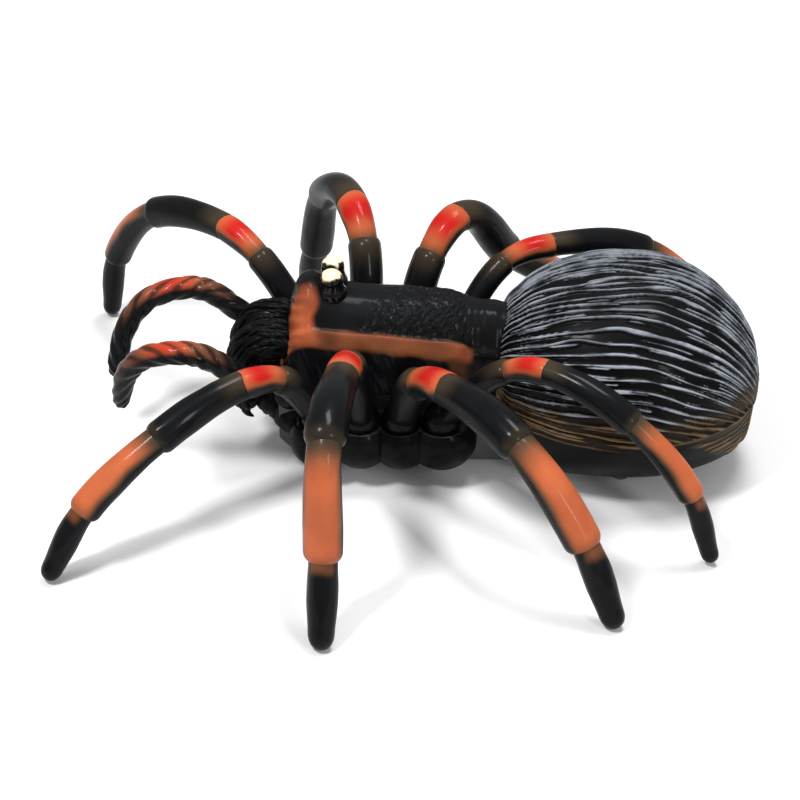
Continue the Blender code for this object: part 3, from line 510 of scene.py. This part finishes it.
def ridge_height(around, along):
    """Long thin ridges that run from the waist to the tail, forking and merging on the way."""
    drift = 1.3 * noise(around * 3, along * 3.0, 2.0) + 0.8 * noise(around * 10, along * 7, 7.0)
    fork = ease(-0.25, 0.25, noise(around * 9, along * 8, 21.0))
    first = np.sin(RIDGES * around + 2.2 * drift)
    second = np.sin(RIDGES * 1.5 * around + 2.2 * drift + 1.0)
    wave = np.maximum(first, second * fork)
    streak = noise(around * 40 + drift * 0.5, along * 14, 12.0)
    return ease(-0.10, 1.05, wave + streak * 0.22) ** 3.2


def ridge_angle(points, along):
    """The angle that a ridge keeps, about a line that drops below the tail's lip."""
    drop = WIDEST_Z - 18.0 * np.clip((along - 0.45) / 0.55, 0, 1) ** 1.6
    return np.arctan2(points[..., 2] - drop, points[..., 0])


def outward(points, inside):
    """Unit normals of a grid of points, facing away from a point inside."""
    normal = unit(np.cross(np.gradient(points, axis=1), np.gradient(points, axis=0)))
    return normal * np.sign((normal * (points - inside)).sum(-1, keepdims=True))


def thicken(shell, wall, face):
    """Gives a shell its wall, on the side that one face near its top turns away from."""
    thick = shell.modifiers.new("wall", "SOLIDIFY")
    thick.thickness = wall * MM
    thick.offset = -1.0 if shell.data.polygons[face].normal.z > 0 else 1.0


def abdomen_paint(points, height):
    """Black grooves, lighter towards the top as painted light, with ridges brushed pale above and ochre below."""
    z = points[..., 2]
    y = points[..., 1]
    broken = noise(points[..., 0] * 0.22, y * 0.16, z * 0.3)
    fleck = noise(points[..., 0] * 1.1, y * 0.8, z * 1.4)
    brushed = ease(0.52, 0.94, height + 0.06 * broken + 0.06 * fleck)
    upper = ease(33.0, 41.0, z + 3 * broken)
    fading = 0.70 + 0.30 * ease(66.0, 54.0, z)
    patchy = 0.45 + 0.55 * ease(-0.6, 0.3, broken + 0.5 * fleck)
    frost = brushed * upper * fading * patchy
    ochre = brushed * (1 - upper) * ease(6.0, 14.0, z)
    # painted light: the black lightens to charcoal towards the top of the shell
    colour = mix(BLACK + 0 * points, CHARCOAL, 0.5 * ease(50, 66, z))
    colour = mix(colour, OCHRE, ochre * 0.85)
    colour = mix(colour, OLIVE, (1 - upper) * 0.35 * ease(10.0, 20.0, z) * (1 - brushed))
    return mix(colour, FROST, frost * 0.62)


def meeting_tail(points, colour):
    """Adds black rows that bring the last one round to the middle line, which closes the tail."""
    turns = np.linspace(0, math.pi / 2, TAIL_ROWS + 1)[1:]
    rows = np.array([points[-1] * (math.cos(turn), 1, 1) for turn in turns])
    return np.concatenate([points, rows]), np.concatenate([colour, BLACK + 0 * rows])


def build_abdomen(surface):
    """The ridged upper shell, down to its lip."""
    y = abdomen_rows(330)
    half, top, base_half, base_z = [v[:, None] for v in abdomen_values(y)]
    low = np.arcsin(np.clip((WIDEST_Z - SEAM_Z - 0.15) / (WIDEST_Z - base_z), 0, 0.99))
    share = np.linspace(0, 1, 620)[None, :]
    angle = -low + (math.pi + 2 * low) * share
    over = np.clip(angle, 0, math.pi)
    under = np.clip(np.where(angle < 0, -angle, angle - math.pi), 0, None)
    x = half * np.cos(over)
    z = WIDEST_Z + (top - WIDEST_Z) * np.sin(over) ** 0.92
    side = np.sign(np.cos(over))
    x = np.where(under > 0, side * (base_half + (half - base_half) * np.cos(under)), x)
    z = np.where(under > 0, WIDEST_Z - (WIDEST_Z - base_z) * np.sin(under), z)
    points = np.stack([x, y[:, None] + 0 * x, z], axis=-1)
    along = (y[:, None] - y[0]) / (y[-1] - y[0]) + 0 * x
    height = ridge_height(ridge_angle(points, along), along)
    lip = ease(0.0, 0.012, share) * ease(1.0, 0.988, share)
    depth = GROOVE_DEPTH * (0.35 + 0.65 * ease(0.0, 0.10, along) * ease(1.0, 0.93, along))
    normal = outward(points, ABDOMEN_INSIDE)
    points = points - normal * (depth * (1 - height) * lip)[..., None]
    colour = abdomen_paint(points, height)
    points[..., 1] -= TAIL_GAP * along
    points, colour = meeting_tail(points, colour)
    vertices, quads = grid_mesh(points, False)
    shell = make("abdomen_upper", [(vertices, quads, colour.reshape(-1, 3))], surface)
    thicken(shell, ABDOMEN_WALL, len(quads) // 2)
    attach(shell, "chassis")
    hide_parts("abdomen_shell")


def build_bowl(surface):
    """The skin of the lower abdomen: smooth and black at the sides, ridged towards the tail."""
    y = abdomen_rows(260)
    half, _, base_half, base_z = [v[:, None] for v in abdomen_values(y)]
    half = np.maximum(half - LIP, 1.0)
    base_half = np.maximum(base_half - LIP * 0.6, 0.8)
    base_z = base_z + LIP
    middle = (y[0] + y[-1]) / 2
    y = middle + (y - middle) * (1 - LIP / (y[-1] - middle))
    low = np.arcsin(np.clip((WIDEST_Z - SEAM_Z) / (WIDEST_Z - base_z), 0, 0.99))
    share = np.linspace(0, 1, 130)[None, :]
    turn = low + (math.pi / 2 - low) * share
    sides = []
    for side in (1, -1):
        x = side * (base_half + (half - base_half) * np.cos(turn))
        z = WIDEST_Z - (WIDEST_Z - base_z) * np.sin(turn)
        points = np.stack([x, y[:, None] + 0 * x, z], axis=-1)
        along = (y[:, None] - y[0]) / (y[-1] - y[0]) + 0 * x
        pattern_start = 0 if side > 0 else 9
        height = ridge_height(pattern_start - turn * 0.8, along)
        ends_z = 25.5 - 17.0 * ease(0.70, 0.97, along)
        ridged = ease(-1.0, 2.5, z - ends_z)
        normal = outward(points, ABDOMEN_INSIDE)
        lift = SKIN * ease(1.0, 0.94, share) * ease(0.0, 0.02, along)
        points = points + normal * (lift * (1 - 0.8 * ridged * (1 - height)))[..., None]
        colour = mix(BLACK + 0 * points, abdomen_paint(points, height), ridged)
        points, colour = meeting_tail(points, colour)
        vertices, quads = grid_mesh(points, False)
        sides.append((vertices, quads if side > 0 else quads[:, ::-1], colour.reshape(-1, 3)))
    skin = make("abdomen_lower_skin", sides, surface)
    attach(skin, "chassis")


# ---------------------------------------------------------------- thorax

def side_wall(place):
    """1 on the walls below the rim, 0 on the back."""
    return 1 - ease(0.30, 0.42, place)


def carapace_form():
    """The smooth surface, how far up its arch each point lies, and where the collar is."""
    share = np.linspace(0, 1, 330)
    y = CARAPACE_STATIONS[0, 0] + (CARAPACE_STATIONS[-1, 0] - CARAPACE_STATIONS[0, 0]) * share
    low_half, rim_half, rim_z, top = [
        v[:, None] for v in spline(CARAPACE_STATIONS[:, 0], CARAPACE_STATIONS[:, 1:], y).T]
    front = ease(-59.5, -63.5, y)[:, None]
    collar = ease(-9.5, -6.5, y)[:, None]
    ridge = (1 - collar) * (0.5 + 0.5 * (1 - front))
    rise = top - rim_z
    keys = np.array((0.0, 0.16, 0.30, 0.40, 0.47, 0.56, 0.72, 0.87, 1.0))
    across = [low_half * 0.90, low_half * 0.95, rim_half * 0.94, rim_half * 1.0, rim_half * 0.95,
              rim_half * 0.82, rim_half * 0.56, rim_half * 0.28, 0 * rim_half]
    height = [SEAM_Z + 0.15 + 0 * rim_z, rim_z - 13, rim_z - 4.5, rim_z - 0.6, rim_z + 1.6 * ridge + 1.0,
              rim_z + 0.22 * rise + 1.1 * ridge, rim_z + 0.70 * rise, rim_z + 0.95 * rise, top]
    around = np.linspace(0, 1, 210)
    half_x = spline(keys, np.concatenate(across, axis=1).T, around).T
    half_z = spline(keys, np.concatenate(height, axis=1).T, around).T
    x = np.concatenate([half_x, -half_x[:, -2::-1]], axis=1)
    z = np.concatenate([half_z, half_z[:, -2::-1]], axis=1)
    place = np.concatenate([around, around[-2::-1]])[None, :] + 0 * x
    return np.stack([x, y[:, None] + 0 * x, z], axis=-1), place, collar


def carapace_relief(points, place, collar):
    """How far each point stands out: pits on the back, wrinkles on the face, folds on the walls."""
    x, y, z = points[..., 0], points[..., 1], points[..., 2]
    back = ease(0.50, 0.58, place) * ease(-41.0, -33.0, y - 0.75 * (9 - np.abs(x)))
    back = back * (1 - collar)
    scales = noise(x * 0.5, y * 0.5, z * 0.3) + 0.5 * noise(x * 1.4, y * 1.1, 4.0)
    wander = 2.4 * noise(x * 0.35, y * 0.3, 9.0)
    dots = ease(0.0, 0.6, np.sin(y * 1.9 + wander) * np.sin(x * 1.7 + y * 0.5 + wander))
    wrinkles = np.sin((z - 0.4 * np.abs(x)) * 1.55 + 1.6 * noise(x * 0.2, z * 0.2, 3.0))
    face = ease(-55.5, -60.0, y) * ease(0.36, 0.5, place)
    strands = noise(y * 0.9 + z * 0.25, z * 0.16, 17.0)
    rings = np.sin((y + 6.0) * 2.1) * ease(-7.5, -6.0, y) * 0.05
    lift = 0.14 * back * scales - 0.34 * back * dots + 0.20 * face * wrinkles
    lift = lift + 0.18 * side_wall(place) * strands * (1 - collar) + rings
    return lift + 0.10 * noise(x * 0.3, y * 0.3, z * 0.3)


def carapace_paint(points, place, collar):
    """Black, lighter on the dome and walls as painted light, with a rusty rim brightened by an orange painted
    highlight, an orange brow and a hook of rust behind each wall.
    """
    x, y, z = points[..., 0], points[..., 1], points[..., 2]
    mottled = noise(x * 0.25, y * 0.2, z * 0.25)
    stripe = ease(0.32, 0.38, place + 0.015 * mottled) * ease(0.56, 0.47, place + 0.025 * mottled)
    stripe = stripe * (1 - ease(-8.0, -5.5, y))
    brow = ease(-52.5, -55.5, y + 1.5 * mottled) * ease(0.36, 0.44, place) * ease(0.92, 0.74, place)
    brow = brow * ease(-63.2, -61.6, y)
    lit = np.maximum(0.8 * ease(0.55, 0.8, place), side_wall(place))
    colour = mix(BLACK + 0 * points, CHARCOAL * 1.5, lit)
    colour = mix(colour, RUST, np.clip(stripe * (0.85 + 0.3 * mottled), 0, 1))
    hook = ease(0.12, 0.30, place) * ease(0.44, 0.36, place)
    hook = hook * ease(-14.5, -12.0, y + mottled) * (1 - collar)
    colour = mix(colour, RUST, 0.8 * hook)
    grime = ease(-0.3, 0.6, noise(x * 0.3, y * 0.16, z * 0.3))
    colour = mix(colour, BLACK, 0.30 * grime * stripe)
    towards_ends = 0.35 + 0.65 * ease(-50.0, -58.0, y) + 0.3 * ease(-16.0, -9.0, y)
    # painted highlight: orange laid over the rusty rim, stronger towards its ends and weaker where grime lies
    rim_painted_highlight = np.clip((1 - 0.55 * grime) * stripe * towards_ends, 0, 1)
    colour = mix(colour, ORANGE, 0.75 * rim_painted_highlight)
    return mix(colour, ORANGE, np.clip(brow * (0.85 + 0.35 * mottled), 0, 1) * 0.75)


def build_carapace(surface):
    """Side walls, a raised rusty rim, and a domed back with a smooth head and pitted rear."""
    smooth, place, collar = carapace_form()
    relief = carapace_relief(smooth, place, collar)
    points = smooth + outward(smooth, THORAX_INSIDE) * relief[..., None]
    colour = carapace_paint(smooth, place, collar)
    vertices, quads = grid_mesh(points, False)
    parts = [(vertices, quads, colour.reshape(-1, 3))]
    parts.append(end_cap(points[0], -0.9, colour[0]))
    shell = make("carapace", parts, surface)
    thicken(shell, CARAPACE_WALL, len(quads) // 2)
    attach(shell, "chassis")
    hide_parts("carapace_shell")


def end_cap(ring, bulge, colour):
    """A domed face that closes the open end of a shell."""
    centre = ring.mean(axis=0)
    turns = np.linspace(0, math.pi / 2, 14)
    rows = []
    for turn in turns:
        row = centre + (ring - centre) * max(math.cos(turn), 0.003)
        row = row + np.array((0, bulge * math.sin(turn), 0))
        rows.append(row)
    points = np.array(rows)
    colours = np.repeat(colour[None], len(rows), axis=0)
    vertices, quads = grid_mesh(points, True)
    return vertices, quads, colours.reshape(-1, 3)


def build_belly_skins(surface):
    """Rounded cups under the legs, and a lumpy chin and cheeks, over the plain CAD belly."""
    parts = []
    for side, number, *_ in LEGS.values():
        y = ROOTS["leg_left_" + str(number)][1]
        parts.append(ball((side * CUP_X, y, CUP_Z), CUP_R, low=math.radians(55), sides=72, rows=48,
                          stretch=CUP_HALF[number] / CUP_R))
    for side in (1, -1):
        for y, low, size in ((-60.0, 17.2, 6.2), (-64.5, 20.8, 5.8), (-68.5, 24.0, 5.4)):
            parts.append(ball((side * 6.8, y, low), size, sides=48, roughness=0.5))
        parts.append(ball((side * 9.0, -62.5, 27.5), 5.6, sides=48, roughness=0.5))
        parts.append(ball((side * 8.8, -62.2, 19.0), 5.9, sides=48, roughness=0.5))
    skin = make("belly_cups", parts, surface)
    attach(skin, "chassis")


def lathe(centre, profile, tilt):
    """Turns a profile of (radius, height) pairs about Z, leaning it over towards one side."""
    angle = np.linspace(0, 2 * math.pi, 64, endpoint=False)
    radius, level = [np.asarray(profile)[:, k][:, None] for k in (0, 1)]
    x = radius * np.cos(angle)
    y = radius * np.sin(angle)
    z = level + 0 * angle
    lean = math.radians(tilt)
    turned = np.stack([x * math.cos(lean) + z * math.sin(lean), y,
                       z * math.cos(lean) - x * math.sin(lean)], axis=-1)
    return np.asarray(centre) + turned


def build_eyes(surface):
    """A black stub that ends in a low cream dome with a black edge, for each eye."""
    x, y, z = EYE
    stubs = []
    for side, tag in ((1, "left"), (-1, "right")):
        centre = (side * x, y, z)
        turn = np.linspace(0, math.pi / 2, 30)
        dome = np.stack([EYE_R * np.sin(turn) + POLE_R, EYE_HEIGHT * np.cos(turn)], axis=1)
        foot = np.array(((EYE_R, -0.2), (EYE_R - 0.15, -0.5), (EYE_R * 0.6, -0.5), (POLE_R, -0.5)))
        points = lathe(centre, np.concatenate([dome, foot]), side * EYE_TILT)
        uneven = noise(points[..., 0] * 0.9, points[..., 1] * 0.9, side * 4.0)
        out = np.concatenate([dome, foot])[:, :1] + 0.5 * uneven
        rim = ease(EYE_R * 0.80, EYE_R * 0.92, out)
        rim[len(dome):] = 1.0
        colour = mix(CREAM * (1 + 0.12 * uneven)[..., None], BLACK, rim)
        cap = make("eye_dome_" + tag, [(*grid_mesh(points, True), colour.reshape(-1, 3))], surface)
        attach(cap, "chassis")
        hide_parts("eye_cap_" + tag)
        flare = ((EYE_R * 1.35, -8.0), (EYE_R * 1.30, -4.5), (EYE_R * 1.12, -3.0), (EYE_R * 1.02, -1.8),
                 (EYE_R * 0.99, -0.9), (EYE_R * 0.94, -0.65), (POLE_R, -0.65))
        rows = spline(np.arange(len(flare)), np.array(flare), np.linspace(0, len(flare) - 1, 40))
        stub = lathe(centre, np.maximum(rows, (POLE_R, -9.0)), side * EYE_TILT)
        stubs.append((*grid_mesh(stub, True), BLACK))
    stub = make("eye_stubs", stubs, surface)
    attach(stub, "chassis")


# ---------------------------------------------------------------- mouth parts

def strand_parts(line, radii, count, seed):
    """Sculpted hair: slim tapered strands that lie along a limb and overlap."""
    rng = np.random.default_rng(seed)
    along, across, dorsal = frames(line, np.array((1.0, 0.0, 0.0)))
    parts = []
    for _ in range(count):
        start = rng.integers(0, len(line) - 18)
        length = rng.integers(11, 18)
        steps = np.arange(start, start + length)
        angle = rng.uniform(0, 2 * math.pi) + np.linspace(0, rng.uniform(-0.35, 0.35), length)
        share = np.linspace(0, 1, length)
        proud = radii[steps] + 0.15 + 0.45 * share
        way = np.cos(angle)[:, None] * across[steps] + np.sin(angle)[:, None] * dorsal[steps]
        middle = line[steps] + way * proud[:, None]
        width = rng.uniform(0.50, 0.95) * np.sin(math.pi * (0.12 + 0.88 * share)) ** 0.6 + 0.02
        tangent = np.cross(along[steps], way)
        turn = np.linspace(0, 2 * math.pi, 8, endpoint=False)
        ring = (np.cos(turn)[None, :, None] * tangent[:, None] * width[:, None, None]
                + np.sin(turn)[None, :, None] * way[:, None] * width[:, None, None] * 0.9)
        points = middle[:, None] + ring
        shade = BLACK * rng.uniform(0.9, 1.9)
        parts.append((*grid_mesh(points, True), shade))
    return parts


def limb_points(line, radii, sides, lift):
    """Points round a centreline, raised by lift(angle), and the angles they lie at."""
    _, across, dorsal = frames(line, np.array((1.0, 0.0, 0.0)))
    angle = np.linspace(0, 2 * math.pi, sides, endpoint=False)
    reach = radii[:, None] + lift(angle[None, :])
    ring = np.cos(angle)[None, :, None] * across[:, None] + np.sin(angle)[None, :, None] * dorsal[:, None]
    return line[:, None] + reach[..., None] * ring, angle


def path_of(keys, radii, side, count):
    """A smooth centreline through keys, its radii, and the share of the way along at each point."""
    spots = np.arange(len(keys))
    at = np.linspace(0, len(keys) - 1, count)
    line = spline(spots, keys * (side, 1, 1), at)
    return line, spline(spots, np.array(radii, float), at), at / (len(keys) - 1)


def rounded_ends(radii, share, start, end):
    """Brings radii smoothly to a point at each end over a share of the length."""
    head = np.sqrt(np.clip(1 - (1 - np.clip(share / start, 0, 1)) ** 2, 1e-5, 1))
    tail = np.sqrt(np.clip(1 - (1 - np.clip((1 - share) / end, 0, 1)) ** 2, 1e-5, 1))
    return radii * head * tail


def build_jaw(side, surface):
    """A hairy jaw that hangs from the head, with a short fang."""
    tag = "left" if side > 0 else "right"
    line, radii, share = path_of(JAW_PATH, JAW_RADII, side, 120)
    radii = rounded_ends(radii, share, 0.08, 0.10)

    def lift(angle):
        lumps = noise(angle * 6.0 + share[:, None] * 2, share[:, None] * 5, side * 3.0)
        return 0.35 * lumps * (radii[:, None] / 6)

    points, _ = limb_points(line, radii, 72, lift)
    parts = [(*grid_mesh(points, True), BLACK)]
    parts += strand_parts(line[8:], radii[8:] * 0.97, 300, 40 + side)
    fang = np.array(((5.6, -76.0, 22.0), (5.4, -77.2, 19.0), (5.0, -76.4, 16.6), (4.7, -74.8, 15.2)))
    fang_line, fang_radii, _ = path_of(fang, (1.9, 1.5, 1.0, 0.3), side, 30)
    fang_points, _ = limb_points(fang_line, fang_radii, 24, lambda angle: 0 * angle)
    parts.append((*grid_mesh(fang_points, True), CHARCOAL))
    jaw = make("jaw_" + tag, parts, surface)
    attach(jaw, "chassis")
    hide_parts("chelicera_" + tag)


def palp_keys(side):
    """The CAD part's path for one palp, posed a little differently on each side."""
    share = np.minimum(np.arange(len(PALP_PATH)) / 3, 1.0)
    keys = PALP_PATH * (side, 1, 1)
    keys[:, 0] += PALP_LEAN[0] * share
    keys[:, 1] = keys[0, 1] + (keys[:, 1] - keys[0, 1]) * (1 + (PALP_REACH[side] - 1) * share)
    keys[:, 2] += PALP_LEAN[1] * share
    return keys


def build_palp(side, surface):
    """A curling feeler with slanting grooves darkened as painted shade, red over the top of its arch."""
    tag = "left" if side > 0 else "right"
    line, radii, share = path_of(palp_keys(side), PALP_RADII, 1, 340)
    radii = rounded_ends(radii, share, 0.02, 0.035)
    s = share[:, None]

    def lift(angle):
        wander = noise(np.cos(angle) * 1.5, s * 9, 5.0 + np.sin(angle))
        slant = np.sin(5 * angle + side * 95 * s + 1.4 * wander)
        fine = noise(np.cos(angle) * 3 + 20 * s, s * 36, 8.0 + 3 * np.sin(angle))
        return (0.20 * slant + 0.10 * fine) * np.minimum(radii[:, None] / 3, 1)

    points, angle = limb_points(line, radii, 64, lift)
    dorsal = np.sin(angle)[None, :] + 0 * s
    middle = len(line) // 2
    if np.cross((1.0, 0.0, 0.0), line[middle + 10] - line[middle])[2] < 0:
        dorsal = -dorsal
    relief = lift(angle[None, :])
    broken = noise(np.cos(angle)[None, :] * 2, s * 12, 3.0 + np.sin(angle)[None, :])
    top = ease(0.10, 0.80, dorsal + 0.15 * broken)
    # painted shade: the rust, orange and red fall away in the slanting grooves, so the grooves stay dark
    painted_groove_shade = 0.15 + 0.85 * ease(-0.20, 0.10, relief)
    zone = ease(0.46, 0.54, s) * ease(0.70, 0.62, s)
    colour = CHARCOAL + 0 * points
    brown = top * ease(0.36, 0.46, s) * ease(0.82, 0.70, s)
    colour = mix(colour, RUST, 0.8 * brown * painted_groove_shade)
    colour = mix(colour, ORANGE, top * zone * painted_groove_shade * 0.60)
    colour = mix(colour, RED, top * zone * painted_groove_shade * np.exp(-((s - 0.59) / 0.06) ** 2) * 0.70)
    palp = make("palp_" + tag, [(*grid_mesh(points, True), colour.reshape(-1, 3))], surface)
    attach(palp, "chassis")
    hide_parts("pedipalp_" + tag)


# ---------------------------------------------------------------- CAD pieces that stay in view

def dress_cad(nodes):
    """Gives the CAD pieces that nothing replaces their materials and softened edges."""
    surfaces = {
        "black_plastic": plain("black_moulding", (0.010, 0.010, 0.012), (0.30, 0.46)),
        "steel": plain("bright_steel", (0.56, 0.56, 0.57), (0.22, 0.42), 1.0),
        "nylon": plain("natural_nylon", (0.74, 0.73, 0.68), (0.42, 0.60)),
        "bar_plastic": plain("dark_moulding", (0.07, 0.07, 0.078), (0.44, 0.62)),
        "cell_wrap": plain("cell_sleeve", (0.07, 0.13, 0.27), (0.24, 0.36)),
        "board_green": plain("circuit_board", (0.02, 0.13, 0.05), (0.35, 0.55)),
        "led_resin": plain("lamp_resin", (0.80, 0.72, 0.52), (0.12, 0.22)),
    }
    slots = {part["node"]: part["material_slot"] for part in FRAME["record"]["subparts"]}
    for name, node in nodes.items():
        surface = surfaces.get(slots.get(name))
        if surface is None or node.hide_render:
            continue
        node.data.materials.clear()
        node.data.materials.append(surface)
        edge = node.modifiers.new("edge", "BEVEL")
        edge.width = 0.12 * MM
        edge.segments = 2
        edge.limit_method = "ANGLE"
        edge.angle_limit = math.radians(40)


# ---------------------------------------------------------------- studio

def build_floor():
    surface = plain("floor_paper", (0.88, 0.88, 0.88), (0.55, 0.75), grain=300.0, depth=0.00002)
    mesh = bpy.data.meshes.new("floor")
    reach = 6.0
    corners = [(-reach, -reach, 0), (reach, -reach, 0), (reach, reach, 0), (-reach, reach, 0)]
    mesh.from_pydata(corners, [], [(0, 1, 2, 3)])
    mesh.materials.append(surface)
    floor = bpy.data.objects.new("floor", mesh)
    bpy.context.scene.collection.objects.link(floor)


def aim(obj, target):
    way = Vector(target) - obj.location
    obj.rotation_euler = way.to_track_quat("-Z", "Y").to_euler()


def add_light(name, place, size, power):
    data = bpy.data.lights.new(name, "AREA")
    data.shape = "RECTANGLE"
    data.size, data.size_y = size
    data.energy = power
    light = bpy.data.objects.new(name, data)
    light.location = place
    bpy.context.scene.collection.objects.link(light)
    aim(light, LIGHT_TARGET)


def build_studio():
    world = bpy.data.worlds.new("studio")
    world.use_nodes = True
    backdrop = world.node_tree.nodes["Background"]
    backdrop.inputs["Color"].default_value = (1.0, 1.0, 1.0, 1.0)
    backdrop.inputs["Strength"].default_value = 0.46
    bpy.context.scene.world = world
    bpy.context.scene.view_settings.view_transform = "Standard"
    add_light("key", (0.30, -0.30, 0.75), (0.12, 0.16), 4.6)
    add_light("top", (-0.10, 0.15, 0.85), (0.34, 0.20), 5.0)
    add_light("side", (0.60, 0.40, 0.40), (0.10, 0.22), 1.4)


def build_camera():
    data = bpy.data.cameras.new("camera")
    data.lens = CAMERA_LENS
    camera = bpy.data.objects.new("camera", data)
    elevation = math.radians(CAMERA_ELEVATION)
    turn = math.radians(CAMERA_TURN)
    target = np.array(TARGET)
    way = np.array((math.cos(elevation) * math.cos(turn), math.cos(elevation) * math.sin(turn),
                    math.sin(elevation)))
    camera.location = (target + way * CAMERA_DISTANCE + SHIFT) * MM
    bpy.context.scene.collection.objects.link(camera)
    aim(camera, (target + SHIFT) * MM)
    bpy.context.scene.camera = camera


# ---------------------------------------------------------------- the scene

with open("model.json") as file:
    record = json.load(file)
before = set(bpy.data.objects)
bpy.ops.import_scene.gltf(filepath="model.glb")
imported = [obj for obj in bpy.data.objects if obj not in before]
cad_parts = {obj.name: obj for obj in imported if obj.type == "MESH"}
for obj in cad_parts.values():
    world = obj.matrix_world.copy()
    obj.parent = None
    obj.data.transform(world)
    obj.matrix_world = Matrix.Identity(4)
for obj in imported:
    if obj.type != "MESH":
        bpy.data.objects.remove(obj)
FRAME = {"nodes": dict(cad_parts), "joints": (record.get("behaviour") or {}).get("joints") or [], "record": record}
CAD_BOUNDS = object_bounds()
PIVOTS = {joint["child"]: np.array(joint["pos_m"]) / MM for joint in FRAME["joints"]}
SHIFT = np.array((
    (PIVOTS["leg_left_1"][0] + PIVOTS["leg_right_1"][0]) / 2,
    PIVOTS["leg_left_1"][1] - ROOT_FIRST_Y,
    0.0,
))
ROOTS = {name: PIVOTS[name] - SHIFT for name in LEGS}

LEG_PAINT = painted("leg_paint", (0.30, 0.46), 900.0, 0.00005, 0.20)
BODY_PAINT = painted("body_paint", (0.34, 0.52), 800.0, 0.00008, 0.09)
EYE_PAINT = painted("eye_paint", (0.16, 0.28), 700.0, 0.00004, 0.60)

for leg_name in LEGS:
    build_leg(leg_name, LEG_PAINT)
build_abdomen(BODY_PAINT)
build_bowl(BODY_PAINT)
build_carapace(BODY_PAINT)
build_belly_skins(BODY_PAINT)
build_eyes(EYE_PAINT)
for hand in (1, -1):
    build_jaw(hand, BODY_PAINT)
    build_palp(hand, LEG_PAINT)
dress_cad(FRAME["nodes"])
build_floor()
build_studio()
build_camera()
